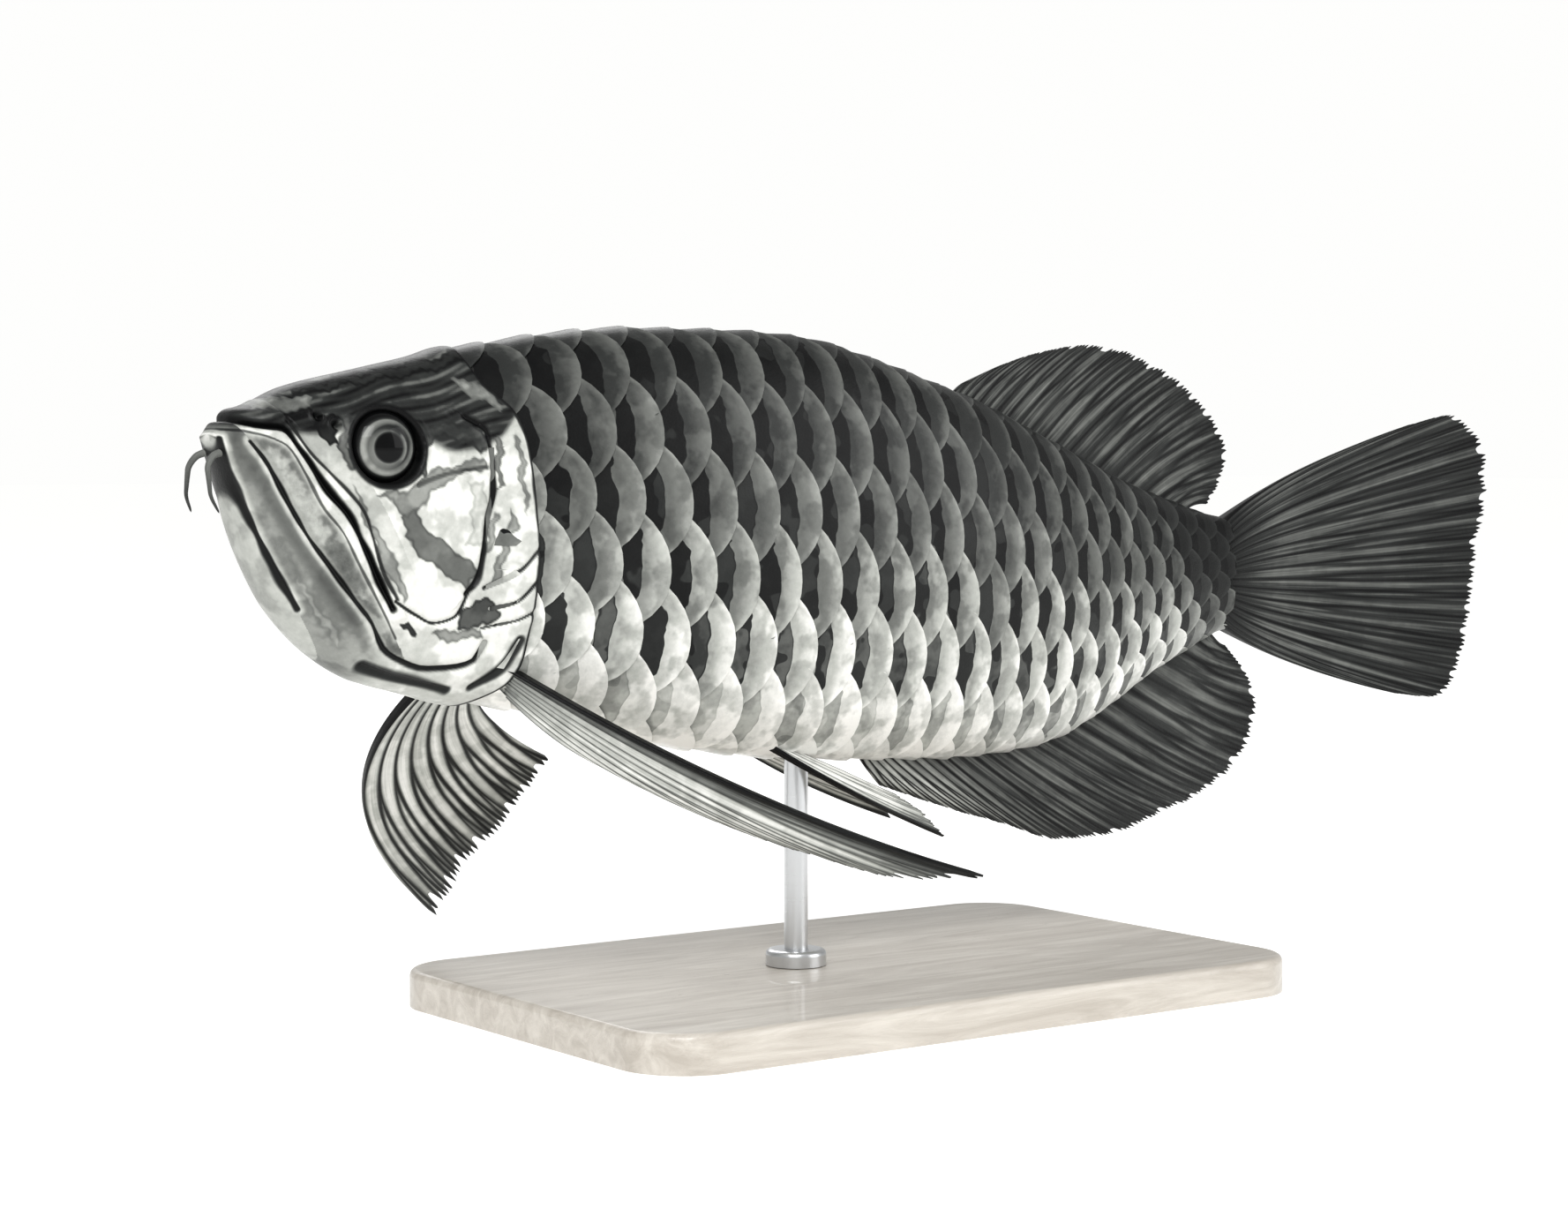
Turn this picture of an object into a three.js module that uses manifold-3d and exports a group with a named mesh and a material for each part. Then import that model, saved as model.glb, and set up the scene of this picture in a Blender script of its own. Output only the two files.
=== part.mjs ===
// Asian arowana, life size, swimming with its fins spread, held over a flat base by one rod.
// Millimetres, +Z up. The fish heads along -X, its left side faces -Y.
// The fish is shaped straight, with the tip of its jaw at x = 0, z = 0, and then bent along its spine.
// The origin is the centre of the underside of the base.
import * as THREE from 'three';
import { mergeVertices } from 'three/addons/utils/BufferGeometryUtils.js';
import Module from 'manifold-3d';

const wasm = await Module();
wasm.setup();

// Driving dimensions
const STANDARD_LENGTH = 495; // tip of the jaw to the root of the tail fin
const JAW_HEIGHT = 216; // tip of the jaw over the floor
const SPINE_PLACE = -262; // x of the tip of the jaw from the centre of the base
const TOUCH_GAP = 0.3; // between pieces that touch
const SCALE_COLUMNS = 25; // scales from the shoulder to the tail
const SCALE_ROWS = 14; // rows of scales round the whole body
const SCALE_LIP = 1.3; // height of a scale's free edge over the next scale
const EYE_RADIUS = 12.2;
const BASE_LENGTH = 300;
const BASE_WIDTH = 190;
const BASE_THICKNESS = 14;
const ROD_RADIUS = 4.5;

// Outline of the straight fish: [distance from the jaw tip, size]
const BACK = [
  [-5, -2], [0, 3], [10, 8], [23, 14], [49, 20], [73, 25], [98, 29], [125, 33], [160, 36], [200, 36],
  [237, 34], [266, 28], [300, 19], [328, 11], [356, 1], [385, -9], [417, -20], [453, -29], [485, -36], [520, -42],
];
const BELLY = [
  [-5, -4], [-2, -14], [3, -33], [9, -48], [17, -62], [32, -77], [48, -86], [72, -92], [97, -96], [125, -101],
  [156, -111], [195, -118], [237, -123], [282, -126], [325, -128], [355, -127], [378, -124], [400, -117],
  [420, -109], [440, -101], [462, -94], [485, -87], [520, -79],
];
const HALF_WIDTH = [
  [-5, 6], [-2, 10], [3, 13], [10, 16], [23, 19], [36, 21], [51, 23], [75, 26], [100, 28], [140, 31], [200, 33],
  [255, 32], [310, 29], [365, 24], [410, 18], [450, 12], [480, 8.5], [520, 6],
];
const WIDEST_LEVEL = [[-5, -3], [5, -8], [20, -18], [50, -32], [100, -44], [200, -48], [300, -54], [400, -62], [520, -61]];

// How the spine turns, seen from above: [distance from the jaw tip, heading in degrees]
const SPINE_HEADINGS = [[-60, 0], [130, 0], [480, 12], [560, -14], [700, -14]];

// Lines on the head, seen from the side
const GAPE_LINE = [[-14, 2], [7, 0.5], [14, 0], [20.4, -7.3], [28.9, -20.9], [35.9, -28.8], [42.2, -40.6], [47.9, -52.5], [52.7, -60.6]];
const GILL_EDGE = [
  [96, 60], [88, 20], [93, 10.7], [99, 4.7], [102.5, -5.3], [103.5, -15.4], [104.5, -29.5], [105, -41.6], [104.5, -53.7],
  [103.5, -61.9], [102.5, -72.1], [102, -79.3], [99, -86.6], [90, -92.5], [76, -99], [62, -116],
];
const CHEEK_EDGE = [[80, 4], [87.8, -1.3], [88.7, -10.4], [88.3, -21.3], [85.6, -31.3], [84.3, -41.3], [82.3, -50.2], [79, -56]];
const JAW_RIDGE = [[4, -4.4], [15.2, -23.7], [30.5, -46.3], [46.2, -65.4], [51.9, -74.7], [59, -79], [67.9, -81.8], [84, -79.7]];
const MAXILLA_WIDTH = 7;
const EYE_PLACE = [50.5, -6.5];
const NOSTRILS = [[27.5, 4], [33.5, 1]];

const COLOURS = {
  back: 0x4a4c48, flank: 0xb9bab2, head: 0x8f918b, jaw: 0xcfcfc8, eye: 0x17181a, fin: 0x3f413f,
  pale_fin: 0x8a8b87, rod: 0xb8bbbe, base: 0x2b2a29,
};

// A smooth curve through [place, size] pairs that never overshoots them.
function through(points) {
  const n = points.length;
  const slopes = points.slice(1).map((p, i) => (p[1] - points[i][1]) / (p[0] - points[i][0]));
  const tangents = points.map((_, i) => {
    if (i === 0) return slopes[0];
    if (i === n - 1) return slopes[n - 2];
    const [a, b] = [slopes[i - 1], slopes[i]];
    return a * b <= 0 ? 0 : (2 * a * b) / (a + b);
  });
  return (x) => {
    let i = 0;
    while (i < n - 2 && x > points[i + 1][0]) i += 1;
    const width = points[i + 1][0] - points[i][0];
    const t = THREE.MathUtils.clamp((x - points[i][0]) / width, 0, 1);
    const [t2, t3] = [t * t, t * t * t];
    return (2 * t3 - 3 * t2 + 1) * points[i][1] + (t3 - 2 * t2 + t) * width * tangents[i]
      + (3 * t2 - 2 * t3) * points[i + 1][1] + (t3 - t2) * width * tangents[i + 1];
  };
}

const back = through(BACK);
const belly = through(BELLY);
const halfWidth = through(HALF_WIDTH);
const widestLevel = through(WIDEST_LEVEL);

// A smooth path through points of any dimension, run by its share from 0 to 1.
function pathOf(points) {
  const curve = new THREE.CatmullRomCurve3(
    points.map((p) => new THREE.Vector3(p[0], p[1], p[2] ?? 0)), false, 'centripetal');
  return (share) => curve.getPointAt(THREE.MathUtils.clamp(share, 0, 1));
}

// Points of one side of the body's section at x, from the back to the belly, evenly spaced along the skin.
const SECTION_STEPS = 64;
const BACK_FULLNESS = 0.72;
const BELLY_FULLNESS = 0.9;
const sectionCache = new Map();
function sectionAt(x) {
  const key = x.toFixed(3);
  if (sectionCache.has(key)) return sectionCache.get(key);
  const level = THREE.MathUtils.clamp(widestLevel(x), belly(x) + 0.3, back(x) - 0.3);
  const points = [];
  const lengths = [0];
  for (let i = 0; i <= SECTION_STEPS; i += 1) {
    const angle = (Math.PI * i) / SECTION_STEPS;
    const upper = angle < Math.PI / 2;
    const reach = upper ? back(x) - level : level - belly(x);
    const wide = halfWidth(x) * Math.sin(angle) ** (upper ? BACK_FULLNESS : BELLY_FULLNESS);
    points.push([i === SECTION_STEPS ? 0 : wide, level + reach * Math.cos(angle)]);
    if (i) lengths.push(lengths[i - 1] + Math.hypot(points[i][0] - points[i - 1][0], points[i][1] - points[i - 1][1]));
  }
  const section = { points, lengths };
  sectionCache.set(key, section);
  return section;
}

// A point of the smooth skin. Turn runs round the body: 0 at the back, 0.5 at the belly, the left side first.
function skinPoint(x, turn) {
  const around = ((turn % 1) + 1) % 1;
  const side = around <= 0.5 ? -1 : 1;
  const { points, lengths } = sectionAt(x);
  const wanted = (around <= 0.5 ? around : 1 - around) * 2 * lengths[SECTION_STEPS];
  let i = 0;
  while (i < SECTION_STEPS - 1 && lengths[i + 1] < wanted) i += 1;
  const t = (wanted - lengths[i]) / (lengths[i + 1] - lengths[i] || 1);
  const y = points[i][0] + t * (points[i + 1][0] - points[i][0]);
  const z = points[i][1] + t * (points[i + 1][1] - points[i][1]);
  return new THREE.Vector3(x, side * y, z);
}

// The same point raised off the skin by a height.
function raisedPoint(x, turn, height) {
  const step = 0.6;
  const along = skinPoint(x + step, turn).sub(skinPoint(x - step, turn));
  const round = skinPoint(x, turn + 0.012).sub(skinPoint(x, turn - 0.012));
  const outward = round.cross(along).normalize();
  return skinPoint(x, turn).addScaledVector(outward, height);
}

// Solids and geometries
function geometryOf(positions, faces) {
  const geometry = new THREE.BufferGeometry();
  geometry.setAttribute('position', new THREE.Float32BufferAttribute(positions, 3));
  geometry.setIndex(faces);
  return geometry;
}

function solidOf(geometry) {
  const bare = geometry.clone();
  for (const name of Object.keys(bare.attributes)) {
    if (name !== 'position') bare.deleteAttribute(name);
  }
  const merged = mergeVertices(bare, 1e-4);
  return new wasm.Manifold(new wasm.Mesh({
    numProp: 3,
    vertProperties: new Float32Array(merged.attributes.position.array),
    triVerts: new Uint32Array(merged.index.array),
  }));
}

function geometryFrom(solid) {
  const made = solid.getMesh();
  const positions = [];
  for (let i = 0; i < made.vertProperties.length; i += made.numProp) {
    positions.push(...made.vertProperties.subarray(i, i + 3));
  }
  return geometryOf(positions, Array.from(made.triVerts));
}

function largestPiece(solid) {
  const pieces = solid.decompose();
  return pieces.reduce((best, piece) => (piece.volume() > best.volume() ? piece : best), pieces[0]);
}

// A piece cut back to leave a gap all round a body it grows from.
function clearOf(piece, body) {
  const ways = [[0, 0, 0], [1, 0, 0], [-1, 0, 0], [0, 1, 0], [0, -1, 0], [0, 0, 1], [0, 0, -1]];
  const cut = ways.reduce((left, way) => left.subtract(body.translate(way.map((w) => w * TOUCH_GAP))), piece);
  return largestPiece(cut);
}

// A closed skin from rings of points, with a point closing each end. Rings run from the back down the left side.
function skinOfRings(rings, first, last) {
  const count = rings[0].length;
  const positions = rings.flat().flatMap((p) => p.toArray());
  const faces = [];
  const at = (ring, i) => ring * count + (i % count);
  for (let r = 0; r < rings.length - 1; r += 1) {
    for (let i = 0; i < count; i += 1) {
      faces.push(at(r, i), at(r, i + 1), at(r + 1, i + 1), at(r, i), at(r + 1, i + 1), at(r + 1, i));
    }
  }
  const ends = [positions.length / 3, positions.length / 3 + 1];
  positions.push(...first.toArray(), ...last.toArray());
  for (let i = 0; i < count; i += 1) {
    faces.push(ends[0], at(0, i + 1), at(0, i));
    faces.push(ends[1], at(rings.length - 1, i), at(rings.length - 1, i + 1));
  }
  return geometryOf(positions, faces);
}

// An outline seen from the side, moved outwards by a margin. Outlines run anticlockwise, z up and x to the right.
function grown(outline, margin) {
  return outline.map((point, i) => {
    const before = outline[(i + outline.length - 1) % outline.length];
    const after = outline[(i + 1) % outline.length];
    const run = new THREE.Vector2(point[0] - before[0], point[1] - before[1]).normalize();
    run.add(new THREE.Vector2(after[0] - point[0], after[1] - point[1]).normalize()).normalize();
    return [point[0] + run.y * margin, point[1] - run.x * margin];
  });
}

// A prism of a side outline, from one y to another.
function prism(outline, from = -90, to = 90) {
  const shape = new THREE.Shape(outline.map((p) => new THREE.Vector2(p[0], p[1])));
  const geometry = new THREE.ExtrudeGeometry(shape, { depth: to - from, bevelEnabled: false });
  return solidOf(geometry.rotateX(Math.PI / 2).translate(0, to, 0));
}

function distanceToLine(x, z, line) {
  let best = Infinity;
  for (let i = 0; i < line.length - 1; i += 1) {
    const [ax, az] = line[i];
    const [dx, dz] = [line[i + 1][0] - ax, line[i + 1][1] - az];
    const t = THREE.MathUtils.clamp(((x - ax) * dx + (z - az) * dz) / (dx * dx + dz * dz), 0, 1);
    best = Math.min(best, Math.hypot(x - ax - t * dx, z - az - t * dz));
  }
  return best;
}

// The trunk's skin of overlapping scales. Each scale is a six-sided tile of a staggered lattice, with its
// rear edges raised over the scales behind it.
const SCALE_CORNER = 0.3; // half the length of a tile's upright edge, in rows
const SCALE_BULGE = 0.16; // how far the rear edge bulges, in columns
const SCALE_INSET = 0.03; // how far a tile's corners draw in to its middle
const TRUNK_START = 66;
const TRUNK_END = 512;

function scaleColumnPlace(column) {
  const share = column / SCALE_COLUMNS;
  return TRUNK_START + (TRUNK_END - TRUNK_START) * share * (1.12 - 0.12 * share);
}

function scaledTrunk() {
  const positions = [];
  const faces = [];
  const known = new Map();
  const vertex = (column, row, middle, height, level) => {
    const key = `${column.toFixed(3)},${(((row % SCALE_ROWS) + SCALE_ROWS) % SCALE_ROWS).toFixed(3)},${level}`;
    if (!known.has(key)) {
      const c = column + (middle[0] - column) * SCALE_INSET;
      const r = row + (middle[1] - row) * SCALE_INSET;
      known.set(key, positions.length / 3);
      positions.push(...raisedPoint(scaleColumnPlace(c), r / SCALE_ROWS, height).toArray());
    }
    return known.get(key);
  };
  const lip = SCALE_LIP;
  const tile = (column, row) => {
    const middle = [column, row];
    const [rear, front] = [column + 0.5, column - 0.5];
    const [high, low] = [row + SCALE_CORNER, row - SCALE_CORNER];
    const make = (c, r, height, level) => vertex(c, r, middle, height, level);
    return {
      centre: vertex(column, row, middle, lip * 0.62, 'centre'),
      rearHigh: make(rear, high, lip * 0.9, 'high'),
      rearMiddle: make(rear + SCALE_BULGE, row, lip, 'high'),
      rearLow: make(rear, low, lip * 0.9, 'high'),
      top: make(column, row + 1 - SCALE_CORNER, lip * 0.45, 'mid'),
      bottom: make(column, row - 1 + SCALE_CORNER, lip * 0.45, 'mid'),
      frontHigh: make(front, high, 0, 'low'),
      frontMiddle: make(front + SCALE_BULGE, row, 0, 'low'),
      frontLow: make(front, low, 0, 'low'),
    };
  };
  const tiles = new Map();
  const columnOf = (i, row) => i + (row % 2 ? 0.5 : 0);
  const tileAt = (i, row) => tiles.get(`${i},${((row % SCALE_ROWS) + SCALE_ROWS) % SCALE_ROWS}`);
  for (let i = 0; i < SCALE_COLUMNS; i += 1) {
    for (let row = 0; row < SCALE_ROWS; row += 1) tiles.set(`${i},${row}`, tile(columnOf(i, row), row));
  }
  for (let i = 0; i < SCALE_COLUMNS; i += 1) {
    for (let row = 0; row < SCALE_ROWS; row += 1) {
      const t = tileAt(i, row);
      const edge = [t.top, t.rearHigh, t.rearMiddle, t.rearLow, t.bottom, t.frontLow, t.frontMiddle, t.frontHigh];
      edge.forEach((a, n) => faces.push(t.centre, a, edge[(n + 1) % edge.length]));
      const behind = tileAt(i + 1, row);
      if (behind) {
        faces.push(t.rearMiddle, t.rearHigh, behind.frontHigh, t.rearMiddle, behind.frontHigh, behind.frontMiddle);
        faces.push(t.rearLow, t.rearMiddle, behind.frontMiddle, t.rearLow, behind.frontMiddle, behind.frontLow);
      }
      const next = i + (row % 2 ? 1 : 0);
      const above = tileAt(next, row + 1);
      if (above) {
        faces.push(t.rearHigh, t.top, above.frontLow, t.rearHigh, above.frontLow, above.bottom);
        if (behind) faces.push(t.rearHigh, above.bottom, behind.frontHigh);
      }
      const below = tileAt(next, row - 1);
      if (below) {
        faces.push(t.bottom, t.rearLow, below.top, t.bottom, below.top, below.frontHigh);
        if (behind) faces.push(t.rearLow, behind.frontLow, below.top);
      }
    }
  }
  closeEnds(positions, faces);
  return geometryOf(positions, faces);
}

// Closes each open end of a tube with a fan to a point on its axis.
function closeEnds(positions, faces) {
  const open = new Map();
  for (let i = 0; i < faces.length; i += 3) {
    for (let e = 0; e < 3; e += 1) {
      const [a, b] = [faces[i + e], faces[i + ((e + 1) % 3)]];
      if (open.get(b)?.has(a)) open.get(b).delete(a);
      else open.set(a, (open.get(a) ?? new Set()).add(b));
    }
  }
  for (const [a, ends] of [...open]) if (!ends.size) open.delete(a);
  while (open.size) {
    const start = open.keys().next().value;
    const loop = [];
    let at = start;
    do {
      loop.push(at);
      const next = open.get(at).values().next().value;
      open.get(at).delete(next);
      if (!open.get(at).size) open.delete(at);
      at = next;
    } while (at !== start);
    const centre = new THREE.Vector3();
    for (const v of loop) centre.add(new THREE.Vector3().fromArray(positions, v * 3));
    const middle = positions.length / 3;
    positions.push(...centre.divideScalar(loop.length).toArray());
    loop.forEach((v, n) => faces.push(middle, loop[(n + 1) % loop.length], v));
  }
}

// The smooth head, with its relief. Depth gives the same skin sunk by that much.
const HEAD_STATIONS = [-4.6, -3.4, -1.2, 2, 6, 10.5, 15.5, 21, 26.5, 32, 38, 44, 50, 56, 62, 68, 74, 79.5, 84.5, 89, 93, 97, 101,
  105, 110, 118];
const HEAD_AROUND = 34;

function headRelief(x, z) {
  const gill = distanceToLine(x, z, GILL_EDGE);
  const flap = 1.9 * Math.exp(-((gill / 11) ** 2));
  const cheek = 0.7 * THREE.MathUtils.smoothstep(x, 70, 84) * THREE.MathUtils.smoothstep(-z, -8, 6);
  const rim = 1.3 * Math.exp(-(((Math.hypot(x - EYE_PLACE[0], z - EYE_PLACE[1]) - EYE_RADIUS - 2.5) / 2.6) ** 2));
  const ridge = -1.7 * Math.exp(-((distanceToLine(x, z, JAW_RIDGE) / 3) ** 2));
  const gape = distanceToLine(x, z, GAPE_LINE);
  const lips = 0.9 * Math.exp(-(((gape - 3.6) / 2.4) ** 2)) - 0.9 * Math.exp(-((gape / 2) ** 2));
  return flap + cheek + rim + ridge + lips;
}

function headSkin(depth = 0) {
  const rings = HEAD_STATIONS.map((x) => Array.from({ length: HEAD_AROUND }, (_, i) => {
    const turn = i / HEAD_AROUND;
    const { z } = skinPoint(x, turn);
    const fade = THREE.MathUtils.smoothstep(x, -4, 8);
    return raisedPoint(x, turn, depth ? -depth * fade : headRelief(x, z) * fade);
  }));
  const last = HEAD_STATIONS.length - 1;
  const [nose, nape] = [HEAD_STATIONS[0], HEAD_STATIONS[last]];
  return solidOf(skinOfRings(rings, new THREE.Vector3(nose - 0.6, 0, widestLevel(nose)),
    new THREE.Vector3(nape, 0, widestLevel(nape))));
}

// A band along a line, seen from the side: the line itself and the same line moved to its upper side.
function bandAlong(line, width) {
  const moved = line.map((p, i) => {
    const a = line[Math.max(i - 1, 0)];
    const b = line[Math.min(i + 1, line.length - 1)];
    const run = new THREE.Vector2(b[0] - a[0], b[1] - a[1]).normalize();
    return [p[0] - run.y * width, p[1] + run.x * width];
  });
  return [...line, ...moved.reverse()];
}

// A fin: a thin sheet of rays. Root and tip give each ray's ends, bow its sideways curve, by the share across the fin.
function fin({ rays, steps, root, tip, bow, outward, rootThickness, tipThickness, ridge, fray, firstRay = 1 }) {
  const columns = 2 * rays - 1;
  const sides = [1, -1];
  const positions = [];
  for (const side of sides) {
    for (let c = 0; c < columns; c += 1) {
      const share = c / (columns - 1);
      const isRay = c % 2 === 0;
      const [start, end] = [root(share), tip(share)];
      const reach = isRay ? 1 : 1 - fray;
      for (let s = 0; s <= steps; s += 1) {
        const v = (s / steps) * reach;
        const point = start.clone().lerp(end, v).addScaledVector(bow(share), 4 * v * (1 - v));
        const thin = rootThickness + (tipThickness - rootThickness) * Math.min(1, v * 1.15);
        const strong = c === 0 ? firstRay : 1;
        const half = (thin * strong + (isRay ? ridge * (1 - 0.75 * v) : 0)) / 2;
        point.addScaledVector(outward(share, v), side * half);
        positions.push(...point.toArray());
      }
    }
  }
  const faces = [];
  const row = steps + 1;
  const at = (side, c, s) => side * columns * row + c * row + s;
  for (let c = 0; c < columns - 1; c += 1) {
    for (let s = 0; s < steps; s += 1) {
      const front = [at(0, c, s), at(0, c + 1, s), at(0, c + 1, s + 1), at(0, c, s + 1)];
      const rear = front.map((v) => v + columns * row);
      faces.push(front[0], front[1], front[2], front[0], front[2], front[3]);
      faces.push(rear[0], rear[2], rear[1], rear[0], rear[3], rear[2]);
    }
  }
  const rim = [];
  for (let c = 0; c < columns; c += 1) rim.push([c, 0]);
  for (let s = 1; s <= steps; s += 1) rim.push([columns - 1, s]);
  for (let c = columns - 2; c >= 0; c -= 1) rim.push([c, steps]);
  for (let s = steps - 1; s > 0; s -= 1) rim.push([0, s]);
  rim.forEach(([c, s], i) => {
    const [d, t] = rim[(i + 1) % rim.length];
    faces.push(at(1, c, s), at(1, d, t), at(0, d, t), at(1, c, s), at(0, d, t), at(0, c, s));
  });
  const solid = solidOf(geometryOf(positions, faces));
  return solid.volume() > 0 ? solid : solidOf(geometryOf(positions, faces.slice().reverse()));
}

const sideways = () => new THREE.Vector3(0, 1, 0);

const DORSAL_TIPS = [
  [330, 20], [352, 27], [380, 33], [410, 36], [437, 33], [460, 26], [482, 16], [496, 3], [500, -9], [495, -21], [484, -31],
];
const DORSAL_ROOTS = [318, 464];
const ANAL_TIPS = [
  [281, -137], [318, -149], [350, -158], [378, -166], [410, -167], [440, -162], [470, -156], [497, -147], [513, -132],
  [516, -118], [509, -103], [497, -92],
];
const ANAL_ROOTS = [268, 482];
const TAIL_TIPS = [
  [600, 4], [620, 8], [633, 2], [640, -12], [640, -30], [635, -50], [633, -72], [630, -92], [625, -111], [612, -119], [594, -117],
];
const TAIL_ROOT_X = STANDARD_LENGTH;

function dorsalFin(trunk) {
  const tips = pathOf(DORSAL_TIPS);
  return clearOf(fin({
    rays: 16,
    steps: 4,
    root: (u) => {
      const x = THREE.MathUtils.lerp(...DORSAL_ROOTS, u);
      return new THREE.Vector3(x - 3, 0, back(x) - 7);
    },
    tip: (u) => new THREE.Vector3(tips(u).x, 5 * Math.sin(Math.PI * u), tips(u).y),
    bow: () => new THREE.Vector3(0, 1.5, 2.5),
    outward: sideways,
    rootThickness: 2.2,
    tipThickness: 0.7,
    ridge: 1,
    fray: 0.05,
  }), trunk);
}

function analFin(trunk) {
  const tips = pathOf(ANAL_TIPS);
  return clearOf(fin({
    rays: 19,
    steps: 4,
    root: (u) => {
      const x = THREE.MathUtils.lerp(...ANAL_ROOTS, u);
      return new THREE.Vector3(x - 3, 0, belly(x) + 7);
    },
    tip: (u) => new THREE.Vector3(tips(u).x, -5 * Math.sin(Math.PI * u), tips(u).y),
    bow: () => new THREE.Vector3(0, -1.5, -2.5),
    outward: sideways,
    rootThickness: 2.2,
    tipThickness: 0.7,
    ridge: 1,
    fray: 0.05,
  }), trunk);
}

function tailFin() {
  const tips = pathOf(TAIL_TIPS);
  const [high, low] = [back(TAIL_ROOT_X) - 1.5, belly(TAIL_ROOT_X) + 1.5];
  return fin({
    rays: 15,
    steps: 6,
    root: (u) => new THREE.Vector3(TAIL_ROOT_X + TOUCH_GAP, 0, THREE.MathUtils.lerp(high, low, u)),
    tip: (u) => new THREE.Vector3(tips(u).x, 0, tips(u).y),
    bow: (u) => new THREE.Vector3(0, 0, 3 * Math.cos(Math.PI * u)),
    outward: (u, v) => new THREE.Vector3(0, 1 + 3.2 * Math.exp(-v * 7) * Math.sin(Math.PI * (0.12 + 0.76 * u)), 0),
    rootThickness: 2.6,
    tipThickness: 0.7,
    ridge: 1,
    fray: 0.045,
  });
}

// A paired fin from its first and last rays. Places are [x, outwards from the midline, z], on the left by side -1.
function pairedFin({ side, roots, tips, bow, rays, steps, rootThickness, tipThickness, ridge, fray, firstRay }) {
  const sided = (p) => new THREE.Vector3(p[0], side * p[1], p[2]);
  const rootPath = pathOf(roots.map((p) => sided(p).toArray()));
  const tipPath = pathOf(tips.map((p) => sided(p).toArray()));
  const normalAt = (u) => {
    const across = rootPath(Math.min(u + 0.02, 1)).sub(rootPath(Math.max(u - 0.02, 0)))
      .add(tipPath(Math.min(u + 0.02, 1)).sub(tipPath(Math.max(u - 0.02, 0))));
    return across.cross(tipPath(u).sub(rootPath(u))).normalize();
  };
  return fin({
    rays,
    steps,
    root: rootPath,
    tip: tipPath,
    bow: (u) => sided(bow[0].map((b, i) => THREE.MathUtils.lerp(b, bow[1][i], u))),
    outward: normalAt,
    rootThickness,
    tipThickness,
    ridge,
    fray,
    firstRay,
  });
}

// The left pectoral is swept back and out, and shows its edge to the viewer.
const LEFT_PECTORAL = {
  side: -1,
  roots: [[97, 17, -81], [99, 14, -86], [101, 11, -91]],
  tips: [[230, 120, -156], [212, 102, -157], [186, 80, -149], [160, 58, -137], [134, 36, -120]],
  bow: [[-2, 8, -7], [-1, 3, -4]],
};

// The right pectoral is held out and down, and shows its spread rays.
const RIGHT_PECTORAL = {
  side: 1,
  roots: [[95, 17, -83], [99, 15, -86], [103, 11, -90]],
  tips: [[150, 118, -190], [154, 99, -169], [160, 85, -153], [164, 72, -138], [166, 60, -124]],
  bow: [[-31, 6, 2], [-6, 6, 0]],
};

const PECTORAL_MAKE = { rays: 8, steps: 6, rootThickness: 2.4, tipThickness: 0.7, ridge: 1.1, fray: 0.05, firstRay: 1.9 };

const LEFT_PELVIC = {
  side: -1,
  roots: [[202, 10, -109], [207, 8, -111], [213, 6, -113]],
  tips: [[300, 17, -157], [293, 15, -149], [280, 11, -140]],
  bow: [[0, 3, -3], [2, 2, -1]],
};

const RIGHT_PELVIC = {
  side: 1,
  roots: [[202, 10, -109], [207, 8, -111], [213, 6, -113]],
  tips: [[311, 24, -154], [304, 20, -147], [288, 14, -139]],
  bow: [[0, 3, -3], [2, 2, -1]],
};

const PELVIC_MAKE = { rays: 5, steps: 5, rootThickness: 2, tipThickness: 0.7, ridge: 0.9, fray: 0.05, firstRay: 1.5 };

function pectoralFin(pose, body) {
  return clearOf(pairedFin({ ...pose, ...PECTORAL_MAKE }), body);
}

function pelvicFin(pose, body) {
  return clearOf(pairedFin({ ...pose, ...PELVIC_MAKE }), body);
}

// An eyeball, flattened sideways, set in the head. Margin grows it into its socket.
function eyeball(side, margin = 0) {
  const surface = skinPoint(EYE_PLACE[0], 0.5 - sideTurn(EYE_PLACE[0], EYE_PLACE[1]));
  const ball = new THREE.SphereGeometry(1, 16, 9);
  ball.rotateX(Math.PI / 2);
  ball.scale(EYE_RADIUS + margin, 7 + margin, EYE_RADIUS + margin);
  ball.rotateZ(side * 0.1);
  ball.translate(EYE_PLACE[0], side * (Math.abs(surface.y) - 3.6), EYE_PLACE[1]);
  return solidOf(ball);
}

// The turn, back from the belly, at which the skin stands at height z.
function sideTurn(x, z) {
  let turn = 0.5;
  while (turn > 0 && skinPoint(x, 0.5 - turn).z > z) turn -= 0.002;
  return turn;
}

function barbel(side) {
  const curve = new THREE.CatmullRomCurve3([
    new THREE.Vector3(3, side * 5, -7), new THREE.Vector3(-5.5, side * 6, -9), new THREE.Vector3(-8.5, side * 7.5, -14),
    new THREE.Vector3(-8.5, side * 9, -21), new THREE.Vector3(-6, side * 10.5, -28),
  ]);
  const rings = [];
  const count = 8;
  const steps = 9;
  const frames = curve.computeFrenetFrames(steps);
  for (let s = 0; s <= steps; s += 1) {
    const radius = THREE.MathUtils.lerp(1.5, 0.45, s / steps);
    const centre = curve.getPoint(s / steps);
    rings.push(Array.from({ length: count }, (_, i) => {
      const angle = (2 * Math.PI * i) / count;
      return centre.clone().addScaledVector(frames.normals[s], radius * Math.cos(angle))
        .addScaledVector(frames.binormals[s], radius * Math.sin(angle));
    }));
  }
  const made = solidOf(skinOfRings(rings, curve.getPoint(0), curve.getPoint(1)));
  return made.volume() > 0 ? made : solidOf(turnedOut(skinOfRings(rings, curve.getPoint(0), curve.getPoint(1))));
}

function turnedOut(geometry) {
  return geometryOf(Array.from(geometry.attributes.position.array), Array.from(geometry.index.array).reverse());
}

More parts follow.
